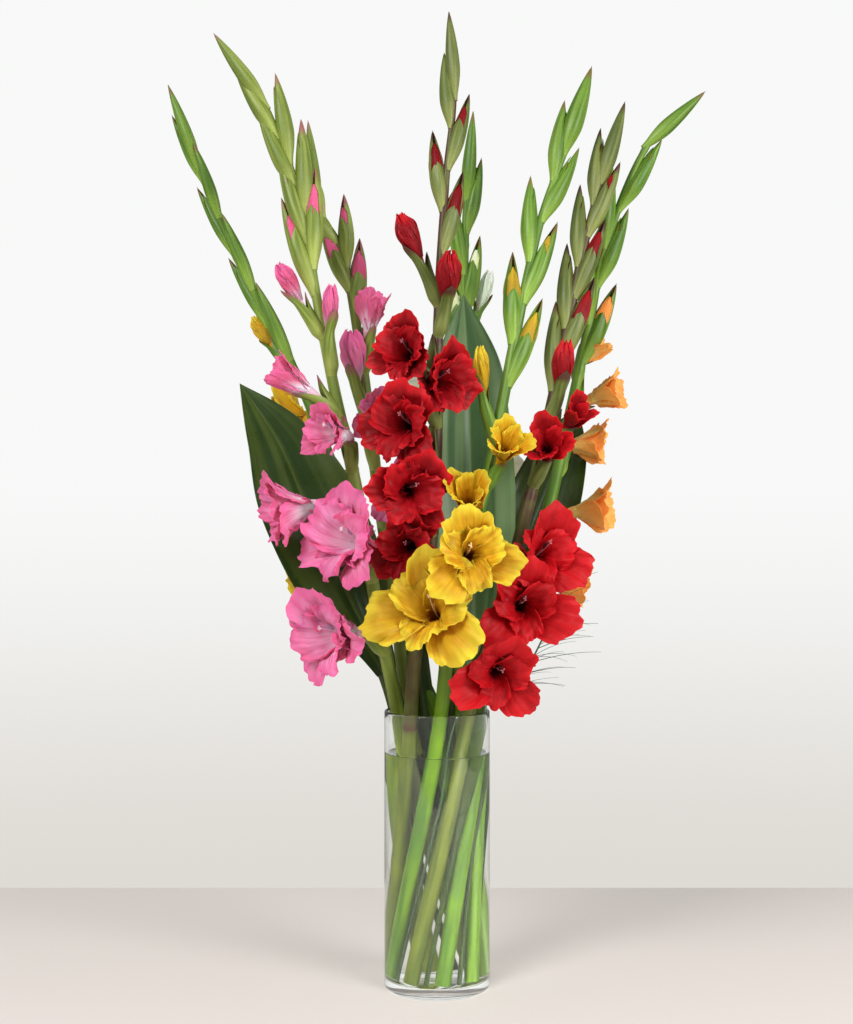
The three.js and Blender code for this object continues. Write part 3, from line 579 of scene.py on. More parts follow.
glass = makePiece("vaseGlass", [lathePart(vaseProfile(), vase["sides"])],
                  [clearMaterial("clearGlass", **glassLook)], "clear_glass", "glass_vase", sharp=70)
still = makePiece("vaseWater", [lathePart(waterProfile(), vase["sides"])],
                  [clearMaterial("stillWater", **waterLook)], "water", "water", sharp=70)
for clear in (glass, still):  # light reaches the stems through both
    clear.visible_shadow = False
print("vase and water made")


# flower spikes


def bloom(at, face, turn, tilt, reach, openness, roll=0, tint=0.0):
    # a flower leaves the stem at height at, and the middle of its face is at face
    # it is turned to the right and tilted up in degrees, and rolled round the way that it faces
    return {"at": at, "face": face, "turn": turn, "tilt": tilt, "reach": reach, "open": openness,
            "roll": roll, "tint": tint}


spikes = [
    {
        "name": "red_centre", "petals": "red", "green": "bronze", "rimTurn": -130,
        "route": [(-18, -38, 340), (-6, -44, 420), (-1, -43, 510), (0, -38, 591), (3, -30, 680),
                  (9, -21, 770), (16, -14, 846), (11, -10, 922)],
        "buds": {"low": 690, "high": 810, "side": 1, "lean": 11, "plane": 0, "length": (82, 74),
                 "size": 0.82, "topSize": 0.7},
        "showing": [1, 0.9, 0.7, 0],
        "blooms": [
            bloom(640, (-26, -50, 704), -60, 62, 40, 0.12, 0, 0.7),
            bloom(612, (10, -56, 666), 10, 66, 42, 0.14, 20, 0.6),
            bloom(562, (-30, -78, 594), -26, 12, 47, 0.7, 8, 0.75),
            bloom(528, (5, -84, 567), 38, 2, 49, 0.7, -6, 0.8),
            bloom(484, (-32, -90, 528), -24, 4, 54, 0.8, 14, 0.6),
            bloom(428, (-25, -102, 468), 10, -6, 52, 0.86, 34, 0.7),
            bloom(378, (-27, -86, 417), -12, -14, 50, 0.84, 5, 0.7),
        ],
    },
    {
        "name": "yellow_right", "petals": "yellow", "green": "fresh", "rimTurn": -85,
        "route": [(12, -45, 340), (26, -48, 406), (46, -47, 480), (62, -42, 560), (76, -34, 630),
                  (97, -22, 723), (121, -14, 793), (146, -8, 871)],
        "buds": {"low": 566, "high": 760, "side": 1, "lean": 11, "plane": 5, "length": (90, 80),
                 "size": 0.9, "topSize": 0.98},
        "showing": [0.9, 0.9, 0.5, 0, 0, 0],
        "blooms": [
            bloom(512, (40, -60, 580), -25, 80, 40, 0.02),
            bloom(472, (62, -84, 511), 10, 34, 38, 0.36, -10),
            bloom(430, (27, -102, 464), -6, 30, 46, 0.26, 58, 0),
            bloom(368, (29, -134, 412), 8, 4, 55, 0.88, -14, 0.1),
            bloom(320, (-8, -120, 364), -14, 16, 67, 0.95, 14, 0.3),
        ],
    },
    {
        "name": "red_right", "petals": "red", "green": "bronze", "rimTurn": -40, "look": "brightRed",
        "route": [(52, -29, 340), (68, -32, 394), (90, -30, 478), (111, -22, 569), (128, -12, 650),
                  (141, -6, 710), (157, 0, 767), (179, 4, 841)],
        "buds": {"low": 562, "high": 740, "side": -1, "lean": 10, "plane": -10, "length": (88, 78),
                 "size": 0.88, "topSize": 0.8},
        "showing": [0, 1, 0, 0.8, 0, 0.5, 0],
        "blooms": [
            bloom(532, (116, -42, 586), 22, 74, 42, 0.1, 0, 0.6),
            bloom(508, (128, -48, 540), 25, 34, 30, 0.2, 0, 0.8),
            bloom(474, (99, -74, 512), -6, 22, 42, 0.4, -12, 0.7),
            bloom(374, (98, -66, 412), 24, 14, 54, 0.82, 8),
            bloom(338, (78, -84, 364), 8, 0, 57, 0.92, -10),
            bloom(300, (54, -98, 304), 8, -12, 52, 0.85, 12),
        ],
    },
    {
        "name": "orange_right", "petals": "orange", "green": "fresh", "rimTurn": 5,
        "route": [(68, 22, 332), (92, 33, 390), (112, 41, 465), (133, 43, 559), (149, 39, 635),
                  (163, 35, 704), (206, 28, 808), (259, 24, 856)],
        "buds": {"low": 596, "high": 742, "side": 1, "lean": 12, "plane": 10, "length": (84, 82),
                 "size": 0.96, "topSize": 0.74},
        "showing": [0.8, 0, 0, 0, 0],
        "blooms": [
            bloom(578, (154, 48, 610), 70, 40, 31, 0.2),
            bloom(534, (168, 44, 566), 66, 16, 34, 0.42),
            bloom(486, (151, 54, 517), 80, 4, 38, 0.45),
            bloom(418, (155, 48, 452), 72, 6, 42, 0.55, 0, 0.2),
            bloom(354, (134, 46, 376), 90, -6, 34, 0.45, 0, 0.5),
        ],
    },
    {
        "name": "cream_back", "petals": "cream", "green": "fresh", "rimTurn": 50,
        "blades": [{"low": 60, "high": 410, "shift": -9}],
        "route": [(22, 46, 340), (25, 60, 430), (25, 66, 540), (27, 68, 650), (30, 66, 766),
                  (36, 60, 846)],
        "buds": {"low": 604, "high": 726, "side": -1, "lean": 10, "plane": 15, "length": (84, 78),
                 "size": 0.88, "topSize": 0.72},
        "showing": [0.8, 0.6, 0, 0],
        "blooms": [
            bloom(664, (22, 82, 712), 200, 78, 38, 0.03),
            bloom(622, (48, 80, 672), 110, 72, 38, 0.03),
            bloom(540, (6, 112, 580), 196, 12, 52, 0.85),
            bloom(462, (42, 116, 500), 164, 6, 58, 0.95, 10),
        ],
    },
    {
        "name": "yellow_left", "petals": "yellow", "green": "fresh", "rimTurn": 95,
        "route": [(-40, 50, 330), (-72, 62, 410), (-103, 70, 494), (-133, 77, 572), (-170, 82, 644),
                  (-212, 82, 731), (-240, 79, 800), (-268, 75, 876)],
        "buds": {"low": 600, "high": 780, "side": 1, "lean": 7, "plane": -50, "length": (86, 76),
                 "size": 0.68, "topSize": 0.66},
        "showing": [0, 0, 0, 0, 0, 0],
        "blooms": [
            bloom(596, (-176, 98, 634), 230, 50, 34, 0.12),
            bloom(518, (-150, 112, 548), 236, 14, 50, 0.7),
            bloom(452, (-130, 118, 486), 200, 6, 54, 0.9),
            bloom(346, (-128, 98, 352), 262, -8, 54, 0.85),
        ],
    },
    {
        "name": "pink_back", "petals": "pink", "green": "olive", "rimTurn": 140,
        "blades": [{"low": 50, "high": 392, "shift": 15}],
        "route": [(-38, 28, 346), (-50, 29, 423), (-62, 28, 510), (-74, 26, 607), (-93, 22, 703),
                  (-116, 18, 745), (-124, 16, 826)],
        "buds": {"low": 640, "high": 732, "side": 1, "lean": 12, "plane": 0, "length": (74, 66),
                 "size": 0.88, "topSize": 0.68},
        "showing": [1, 0.9, 0.6, 0.2, 0],
        "blooms": [
            bloom(584, (-63, 8, 642), 20, 76, 38, 0.22, 0, 0.6),
            bloom(538, (-80, 8, 600), -30, 80, 44, 0.14, 0, 0.6),
            bloom(492, (-58, -6, 538), 24, 8, 36, 0.7, 0, 0.1),
            bloom(436, (-36, -14, 470), 42, 0, 50, 0.85, 0, 0.2),
        ],
    },
    {
        "name": "pink_left", "petals": "pink", "green": "olive", "rimTurn": 185,
        "route": [(-52, -24, 336), (-64, -33, 405), (-76, -38, 476), (-96, -40, 567), (-112, -37, 650),
                  (-128, -33, 742), (-163, -28, 833), (-209, -25, 897)],
        "buds": {"low": 650, "high": 797, "side": -1, "lean": 9, "plane": -6, "length": (98, 86),
                 "size": 0.9, "topSize": 0.74},
        "showing": [0.6, 0.8, 0.3, 0, 0, 0, 0],
        "blooms": [
            bloom(610, (-137, -46, 662), -80, 60, 36, 0.1, 0, 0.9),
            bloom(576, (-98, -52, 638), 20, 80, 38, 0.04, 0, 0.7),
            bloom(538, (-136, -56, 572), -80, 34, 42, 0.18, 0, 0.8),
            bloom(488, (-97, -82, 521), -44, 4, 38, 0.55, 0, 0.7),
            bloom(424, (-136, -68, 452), -72, -8, 52, 0.6, 0, 0.2),
            bloom(386, (-82, -92, 424), -40, 10, 63, 0.84, 22, 0.1),
            bloom(318, (-95, -84, 338), -46, -4, 60, 0.78, -22, 0.1),
        ],
    },
]

stem = {
    "radii": [(0, 7), (262, 6.6), (450, 6.1), (600, 5), (760, 3.4), (900, 2)],
    "sides": 20,
    "rows": 300,
    "joints": 9,
    "jointEvery": (95, 150),
    "firstJointBy": -20,
    "jointBell": 2.5,
    "jointRise": 0.5,
    "line": {"above": 1.5, "width": 1.6, "tint": 0.35},
    "pale": {"below": 8, "width": 8, "share": 0.3},
    "brown": {"fresh": 0.0, "olive": 0.1, "bronze": 0.66},
    "brownFrom": 150,
    "brownOver": 180,
    "ribs": 5,
    "ribRise": 0.012,
    "ribTurn": 60,
}
sword = {"halfWidth": 12.5, "back": 9, "fold": 2.5, "wave": 1.2, "thick": 0.8, "rows": 60, "columns": 21,
         "outline": [(0, 0.45), (0.25, 0.8), (0.6, 1), (0.85, 0.66), (1, 0)]}
wrapLeaf = {"keel": 0.1, "keelWidth": 0.22, "flareFrom": 0.55, "wobble": 0.35, "wobbles": 9, "turn": 6.28,
            "edgeTint": 0.22, "edgeThin": 0.6}
sheath = {  # pairs are for a closed bud and for one whose petals show, or for its outer and its inner leaf
    "halfWidth": 8.6,
    "halfDepth": 8.2,
    "bow": 0.8,
    "shoulder": 0.37,
    "taper": (1.7, 2.0),
    "rootAt": 0.15,
    "topOverlap": 0.12,
    "topFaces": (0.3, -1, 0),
    "sizes": (1.04, 0.9),
    "core": [(0, 0.5), (0.3, 0.9), (0.5, 0.99), (0.66, 0.86), (0.77, 0.56), (0.84, 0.2)],
    "coreStart": 0.14,
    "coreEnd": (0.78, 0.84),
    "coreFoot": 0.5,
    "coreSlim": 0.84,
    "coreSides": 24,
    "coreTurn": 4,
    "creases": [(0.11, 4, 1), (0.07, 7, -2), (0.04, 11, 1)],  # depth, number round and twist
    "creaseFrom": 0.35,
    "creaseOver": 0.25,
    "innerEnd": (0.86, 0.56),
    "spread": (122, 99),
    "clear": (0.55, 0.1),
    "clasp": -0.3,
    "narrows": 0.12,
    "innerCloses": 0.88,
    "windowAt": 0.66,
    "windowReach": 0.14,
    "windowNarrows": 16,
    "tipCloses": 46,
    "closesFrom": 0.72,
    "closesOver": 0.12,
    "tipFrom": 0.7,
    "paleUntil": 0.45,
    "lift": 0.4,
    "rows": 30,
    "columns": 21,
    "thick": 0.7,
}


def standing(rimTurn, footRadius, rimRadius):
    # foot, two points on the straight stretch inside the vase, and the point at the rim
    foot = circlePoint(footRadius, rimTurn - bunch["twist"], vase["floor"] + bunch["footLift"])
    rim = circlePoint(rimRadius, rimTurn, vase["height"])
    return [lerp(foot, rim, s) for s in (0, 1 / 3, 2 / 3, 1)]


def stemRadius(height):
    return np.interp(height, *np.array(stem["radii"], float).T)


def stemPart(curve, spike, rng):
    # a ribbed rod up to the top bud: r(z) (1 + rise sin(ribs a + z / turn)), with a bell at each joint,
    # a thin dark line just above it and a pale band below it
    t = np.linspace(0, 1 - 1 / (len(spike["route"]) + 3), stem["rows"])
    centre = readCurve(curve, t)
    along = unit(np.gradient(centre, axis=0))
    across = squareTo(along, aside)
    z = centre[:, 2]
    joints = np.cumsum(rng.uniform(*stem["jointEvery"], stem["joints"])) + stem["firstJointBy"]

    def atJoints(above, width):  # the sum of a bell at every joint
        return bump(z[:, None], joints[None, :] + above, width).sum(1)

    angle = roundAngles(stem["sides"])
    ribbed = 1 + stem["ribRise"] * np.sin(stem["ribs"] * angle + z[:, None] / stem["ribTurn"])
    radius = stemRadius(z)[:, None] * ribbed + stem["jointRise"] * atJoints(0, stem["jointBell"])[:, None]
    rings = ringsRound(centre, across, np.cross(along, across), radius, radius, angle)
    line, pale = stem["line"], stem["pale"]
    brown = stem["brown"][spike["green"]] * smooth((z - stem["brownFrom"]) / stem["brownOver"])
    tint = np.clip(line["tint"] * atJoints(line["above"], line["width"]) + brown, 0, 1)
    light = np.clip(pale["share"] * atJoints(-pale["below"], pale["width"]), 0, 1)
    return ringsPart(rings, layout=z / 100, tone=rng.uniform(), tint=tint, pale=light)


def swordPart(curve, blade, rng):
    # a leaf that clasps its stem low down and rises beside it:
    # the stem's line + across (shift s + u width(s)) + back (behind + fold |u| + wave sin(5 s + 2 u))
    s = np.linspace(0, 1, sword["rows"])
    point = readCurve(curve, reaching(curve, lerp(blade["low"], blade["high"], s)))
    along = unit(np.gradient(point, axis=0))
    across = squareTo(along, aside)
    back = np.cross(across, along)
    back = back * np.sign(back[:, 1:2])
    s = s[:, None]
    u = np.linspace(-1, 1, sword["columns"])[None, :]
    width = sword["halfWidth"] * np.clip(through(sword["outline"], s), 0, None) * u
    width = width + blade["shift"] * smooth(s * 2)
    behind = sword["back"] * smooth(s * 3) + sword["fold"] * np.abs(u) + sword["wave"] * np.sin(5 * s + 2 * u)
    place = point[:, None] + across[:, None] * width[..., None] + back[:, None] * behind[..., None]
    return sheetPart(place, sword["thick"], layoutOf(u, s * 2), tone=rng.uniform(), material=2)


def wrapPart(centre, out, side, outRadius, sideRadius, span, rng, tint, pale, columns, thick, lift):
    # a leaf of a sheath: centre + out r cos a + side r' sin a, a within the span, keeled at its middle,
    # its tip lifted off and its edges a little wavy and darker
    rows = len(centre)
    a = np.linspace(-1, 1, columns)[None, :]
    angle = a * span[:, None]
    s = np.linspace(0, 1, rows)[:, None]
    keel = 1 + wrapLeaf["keel"] * bump(a, 0, wrapLeaf["keelWidth"]) * smooth(s * 3)
    wavy = np.sin(wrapLeaf["wobbles"] * s + wrapLeaf["turn"] * rng.uniform()) * np.abs(a) ** 3
    flare = lift * smooth((s - wrapLeaf["flareFrom"]) / (1 - wrapLeaf["flareFrom"]))
    flare = flare + wrapLeaf["wobble"] * wavy
    place = centre[:, None] + out[:, None] * (outRadius[:, None] * np.cos(angle) * keel + flare)[..., None]
    place = place + side[:, None] * (sideRadius[:, None] * np.sin(angle))[..., None]
    edgeTint = np.clip(tint[:, None] + wrapLeaf["edgeTint"] * np.abs(a) ** 6 * smooth(s * 2), 0, 1)
    thick = thick * (1 - wrapLeaf["edgeThin"] * np.abs(a) ** 3)
    return sheetPart(place, thick, layoutOf(a, s), tone=rng.uniform(), tint=edgeTint, pale=pale[:, None])


def podShare(s, foot, taper):  # a bud's width: foot to a shoulder, then 1 - x^taper to the tip
    x = np.clip((s - sheath["shoulder"]) / (1 - sheath["shoulder"]), 0, 1)
    low = foot + (1 - foot) * smooth(s / sheath["shoulder"])
    return np.where(s < sheath["shoulder"], low, 1 - x ** taper)


def budParts(root, tip, outward, size, foot, showing, rng):
    # two leaves wrap the petals' core and clasp the stem at their foot; the longer one closes towards
    # its tip; where petals show, it stands behind them, the shorter one ends below them, and the core
    # is creased
    rows = sheath["rows"]
    along = unit(tip - root)
    out = squareTo(along, outward)
    window = squareTo(along, out * 0.5 + towardsViewer)
    hold = squareTo(along, lerp(out, out * 0.5 - window, showing))
    side = np.cross(along, hold)
    wide, deep = sheath["halfWidth"] * size, sheath["halfDepth"] * size
    taper = lerp(*sheath["taper"], showing)

    def line(s):
        return root + (tip - root) * s[:, None] + out * (sheath["bow"] * np.sin(math.pi * s))[:, None]

    s = np.linspace(sheath["coreStart"], lerp(*sheath["coreEnd"], showing), rows)
    slim = podShare(s, sheath["coreFoot"], taper) * sheath["coreSlim"]
    share = lerp(slim, through(sheath["core"], s), showing)[:, None]
    angle = roundAngles(sheath["coreSides"])
    turned = s[:, None] * sheath["coreTurn"] + rng.uniform(0, 6)
    crease = sum(depth * np.sin(count * angle + twist * turned) for depth, count, twist in sheath["creases"])
    crease = 1 + showing * crease * smooth((s[:, None] - sheath["creaseFrom"]) / sheath["creaseOver"])
    rings = ringsRound(line(s), side, hold, wide * share * crease, deep * share * crease, angle)
    core = ringsPart(rings, layout=0.45 + 0.5 * s, tone=rng.uniform(), tint=0.8, pale=0.25, material=1)
    made = [core]
    s = np.linspace(0, 1, rows)
    for outer, reach, spread, more in zip((1, 0), (1, lerp(*sheath["innerEnd"], showing)), sheath["spread"],
                                          sheath["clear"]):
        sign = 1 if outer else -1
        place = s * reach
        share = podShare(place, foot / wide, taper)
        span = spread * (1 - sheath["narrows"] * s - (0 if outer else sheath["innerCloses"]) * s**6)
        if outer:
            gap = bump(s, sheath["windowAt"], sheath["windowReach"])
            span = span + showing * sheath["windowNarrows"] * gap
            span = span + sheath["tipCloses"] * smooth((s - sheath["closesFrom"]) / sheath["closesOver"])
        tint = smooth((place - sheath["tipFrom"]) / (1 - sheath["tipFrom"])) * rng.uniform(0.6, 1.0)
        pale = 1 - smooth(place / sheath["paleUntil"])
        clear = lerp(sheath["clasp"], more, smooth(s * 5)) * (1 - s**8 * outer)
        facing, beside = (np.broadcast_to(way * sign, (rows, 3)) for way in (hold, side))
        made.append(wrapPart(line(place), facing, beside, deep * share + clear, wide * share + clear,
                             np.radians(span), rng, tint, pale, sheath["columns"], sheath["thick"],
                             sheath["lift"]))
    return made


def closedBuds(spike, curve, rng):
    # buds on alternate sides at even heights, each leaning out of the stem, and the top one in line with it
    buds, shown = spike["buds"], spike["showing"]
    lean = math.radians(buds["lean"])
    parts = []
    for i, showing in enumerate(shown):
        share = i / (len(shown) - 1)
        t = reaching(curve, lerp(buds["low"], buds["high"], share))
        along, foot = unit(readCurve(curve, t, "along")), readCurve(curve, t)
        outward = squareTo(along, circlePoint(-buds["side"] if i % 2 else buds["side"], buds["plane"], 0))
        radius = stemRadius(foot[2])
        root = foot + outward * radius * sheath["rootAt"]
        tip = root + (along * math.cos(lean) + outward * math.sin(lean)) * lerp(*buds["length"], share)
        size = buds["size"] * lerp(*sheath["sizes"], share)
        parts += budParts(root, tip, outward, size, radius, showing, rng)
    root, tip = (np.array(p, float) for p in spike["route"][-2:])
    start = lerp(root, tip, -sheath["topOverlap"])
    faces = np.array(sheath["topFaces"])
    return parts + budParts(start, tip, faces, buds["topSize"], stemRadius(start[2]), 0.0, rng)


# flowers

tube = {"rootAt": 0.4, "rise": 0.8, "outward": (0.12, 0.6), "leave": 0.42, "arrive": 0.36,
        "setBack": (0.525, 0.42)}
bract = {"ends": (0.96, 0.7), "youngEnds": (0.55, 0.5), "youngUntil": 0.4, "spans": (2.3, 2.0),
         "clear": (0.6, 0.0), "youngClear": 0.9, "rows": 22, "columns": 15, "thick": 0.7, "lean": 0.4,
         "lift": 2.2, "spear": 52, "spearLean": 13, "clasp": 0.22, "hug": 0.3, "paleShare": 0.8,
         "radius": [(0, 5.2), (0.25, 5.9), (0.6, 5.2), (1, 4.7)]}
throat = {"radius": 5.6, "rim": 0.6, "lip": 0.9, "depth": 11, "closes": 0.3, "sides": 24, "rows": (22, 12),
          "outside": 0.35, "inside": 0.1,  # the layout's v
          # radii as shares of the rim's
          "line": [(0.3, 0.48), (0.62, 0.54), (0.8, 0.74), (0.93, 0.92), (1, 1)]}
whorl = [  # degrees round the face, angles from the axis at root and tip, length and width; three are inner
    {"at": 90, "start": 30, "flare": 62, "reach": 1.04, "width": 1.18, "outer": 1},
    {"at": 210, "start": 36, "flare": 90, "reach": 0.98, "width": 1.0, "outer": 1},
    {"at": 330, "start": 36, "flare": 90, "reach": 0.98, "width": 1.0, "outer": 1},
    {"at": 30, "start": 8, "flare": 74, "reach": 1.0, "width": 1.12, "outer": 0},
    {"at": 150, "start": 8, "flare": 74, "reach": 1.0, "width": 1.12, "outer": 0},
    {"at": 270, "start": 10, "flare": 82, "reach": 0.94, "width": 0.92, "outer": 0},
]
tepal = {  # waves are rows of share, number of the phase and waves across
    "widthShare": 0.375,
    "closedWidth": 0.55,
    "base": 33,
    "closedFlare": 8,
    "turnsFrom": 0.1,
    "turnsOver": 0.8,
    "cupBy": 10,
    "recurve": 42,
    "recurveFrom": 0.55,
    "bendBy": (1.15, 0.5),
    "mostBend": 1.2,
    "fan": 0.84,
    "crowd": 0.8,
    "shoulder": 0.18,
    "point": 0.05,
    "columns": 65,
    "rows": 17,
    "thick": (1.3, 0.34),
    "ragged": 0.03,
    "raggedWaves": [(1, 0, 2.3), (0.7, 1, 4.7), (0.3, 6, 9.1)],
    "broadWaves": [(1, 2, 0.9)],
    "crossWaves": [(0.4, 8, 1.7)],
    "frillWaves": [(0.5, 3, 3.3), (0.35, 4, 5.7)],
    "fineWaves": [(0.4, 9, 9.7)],
    "edgeWaves": [(0.25, 7, 0.8)],
    "crumpleWaves": [(5, 7 * math.pi, 5), (10, 3, 11)],  # phase, along and across
    "fold": 0.075,
    "ruffle": 0.066,
    "ruffleShare": (1.25, 0.7),  # of inner and of outer petals
    "crumple": 0.02,
    "groove": 0.02,
    "sway": 7,
    "twist": 10,
    "lap": 0.075,
}
manner = {  # how far the edges ruffle, the inner petals' length, and how far side petals draw in
    "red": {"ruffle": 1.25, "inner": 0.94, "narrow": 0.12},
    "brightRed": {"ruffle": 0.85, "inner": 0.78, "narrow": 0.0},
    "pink": {"ruffle": 1.2, "inner": 0.96, "narrow": 0.06},
    "yellow": {"ruffle": 1.2, "inner": 0.84, "narrow": 0.02},
    "orange": {"ruffle": 0.8, "inner": 0.95, "narrow": 0.0},
    "cream": {"ruffle": 0.8, "inner": 0.95, "narrow": 0.0},
}
stamen = {"openFrom": 0.45, "seatedBy": 9, "radius": (0.48, 0.32), "clear": 1.6, "arch": 6.5,
          "archFor": 55, "spread": 6, "style": (0.12, 0.58),
          "stalks": [(-0.34, 0.4), (0.0, 0.45), (0.34, 0.41)],  # turn beside the upper tepal and length
          "antherHalf": 3.8, "antherRadius": 0.85, "antherLean": 0.35, "antherLift": 0.9,
          "lobe": 3.6, "lobeRadius": (0.38, 0.68), "lobeCurl": (0.5, 0.6)}
rolled = {"under": 0.15, "slim": 0.13, "plump": 0.22, "twist": 1.1, "span": 1.3, "leaves": 5, "rows": 30,
          "columns": 31, "crumple": 0.16, "thick": 0.5, "rim": 0.45, "start": -0.05, "lift": (0.02, 0.16),
          "crumpleWaves": [(1, 0, 7, 4), (0.7, 1, 12, -9), (0.5, 4, 19, 6)],  # share, phase, across, along
          "raggedWaves": [(0.05, 2, 4), (0.035, 3, 9), (0.02, 5, 17)],
          "coreEnd": 0.9, "coreShare": 0.8, "coreSides": 18,
          "profile": [(-0.05, 0.5), (0.3, 0.95), (0.6, 1.08), (0.82, 0.9), (1, 0.42)]}


def waves(rows, phase, *places):
    # the sum of share sin(rate x + rate y + phase), where every row names its own phase
    total = 0
    for share, which, *rates in rows:
        total = total + share * np.sin(sum(r * x for r, x in zip(rates, places)) + phase[which])
    return total


def flowerSeat(curve, f):
    # the way a flower faces, the path of its tube as a cubic Bezier, and unit vectors across its face
    turn, tilt = math.radians(f["turn"]), math.radians(f["tilt"])
    facing = np.array([math.sin(turn) * math.cos(tilt), -math.cos(turn) * math.cos(tilt), math.sin(tilt)])
    t = reaching(curve, f["at"])
    along, centre = unit(readCurve(curve, t, "along")), readCurve(curve, t)
    end = np.array(f["face"], float) - facing * f["reach"] * lerp(*tube["setBack"], f["open"])
    away = squareTo(along, end - centre)
    root = centre + away * stemRadius(f["at"]) * tube["rootAt"]
    span = np.linalg.norm(end - root)
    leave = along * tube["rise"] + away * lerp(*tube["outward"], smooth(f["open"] / 0.5))
    handles = np.array([root, root + leave * span * tube["leave"], end - facing * span * tube["arrive"], end])
    faceUp = squareTo(facing, up)
    return {"facing": facing, "away": away, "along": along, "stem": stemRadius(f["at"]), "handles": handles,
            "end": end, "span": span, "up": faceUp, "right": np.cross(facing, faceUp),
            "roll": math.radians(f["roll"])}


def pathAt(seat, t):
    # the Bezier up to 1, and straight on along the facing direction beyond it
    t = np.asarray(t, float)[:, None]
    w = np.minimum(t, 1)
    a, b, c, d = seat["handles"]
    line = (1 - w) ** 3 * a + 3 * (1 - w) ** 2 * w * b + 3 * (1 - w) * w**2 * c + w**3 * d
    return line + seat["facing"] * np.maximum(t - 1, 0) * seat["span"]


def spoke(seat, angle):  # the unit vector at an angle round the face
    angle = np.asarray(angle) + seat["roll"]
    return np.cos(angle)[..., None] * seat["right"] + np.sin(angle)[..., None] * seat["up"]


def plumpness(f):  # the radius of a rolled flower
    return lerp(rolled["slim"], rolled["plump"], min(1, f["open"] / rolled["under"])) * f["reach"]


def bractParts(seat, f, rng):
    # two leaves round the tube: the outer one is the longer, faces out and down, and its tip stands off;
    # round a flower that isn't open yet both run on up its side and are as wide as it is,
    # and the inner leaf of an open flower stands up between its tube and the stem
    outer = seat["away"] * bract["lean"] - up
    s = np.linspace(0, 1, bract["rows"])
    young = 1 - smooth(f["open"] / bract["youngUntil"])
    beyond = young * f["reach"] / seat["span"]
    lean = math.radians(bract["spearLean"])
    straight = seat["along"] * math.cos(lean) + seat["away"] * math.sin(lean)
    made = []
    for sign, end, more, width, clear in zip((1, -1), bract["ends"], bract["youngEnds"], bract["spans"],
                                             bract["clear"]):
        place = s * (end + more * beyond)
        centre = pathAt(seat, place)
        if sign < 0:
            spear = seat["handles"][0] + straight * (s * bract["spear"])[:, None]
            centre = lerp(spear, centre, young)
        hug = 1 - smooth(place / bract["clasp"])
        centre = centre - seat["away"] * (seat["stem"] * tube["rootAt"] * hug)[:, None]
        along = unit(np.gradient(centre, axis=0))
        out = squareTo(along, outer) * sign
        low = lerp(through(bract["radius"], np.minimum(place, 1)), seat["stem"] - bract["hug"], hug)
        high = through(rolled["profile"], (place - 1) / f["reach"] * seat["span"])
        high = plumpness(f) * high + bract["youngClear"]
        radius = lerp(low, high, young * smooth((place - 0.6) / 0.4)) + clear * (1 - hug)
        span = width * (1 - s**2.2) ** 0.75
        tint = smooth((s - 0.6) / 0.4) * rng.uniform(0.7, 1.0)
        pale = bract["paleShare"] * (1 - smooth(s / 0.5))
        made.append(wrapPart(centre, out, np.cross(along, out), radius, radius, span, rng, tint, pale,
                             bract["columns"], bract["thick"], bract["lift"]))
    return made


def tubeShell(seat, f, rimRadius):
    # the tube from inside the bracts to the throat's rim and back down its hollow inside
    rows, back = throat["rows"]
    place = np.linspace(throat["line"][0][0], 1, rows)
    outside = through(throat["line"], place) * rimRadius
    inside = np.linspace(rimRadius - throat["lip"], rimRadius * throat["closes"], back)
    place = np.concatenate([place, 1 - np.linspace(0.002, throat["depth"] / seat["span"], back)])
    fine = np.linspace(0, 1, 60)
    along = unit(np.gradient(pathAt(seat, fine), axis=0))
    along = np.stack([np.interp(place, fine, along[:, k]) for k in range(3)], -1)
    across = squareTo(along, seat["right"])
    size = np.concatenate([outside, inside])[:, None]
    angle = roundAngles(throat["sides"])
    rings = ringsRound(pathAt(seat, place), across, np.cross(along, across), size, size, angle)
    layout = np.concatenate([np.full(rows, throat["outside"]), np.linspace(throat["inside"], 0, back)])
    pale = np.concatenate([np.linspace(1, 0.2, rows), np.zeros(back)])
    return ringsPart(rings, layout=layout, tint=f["tint"] * 0.5, pale=pale)


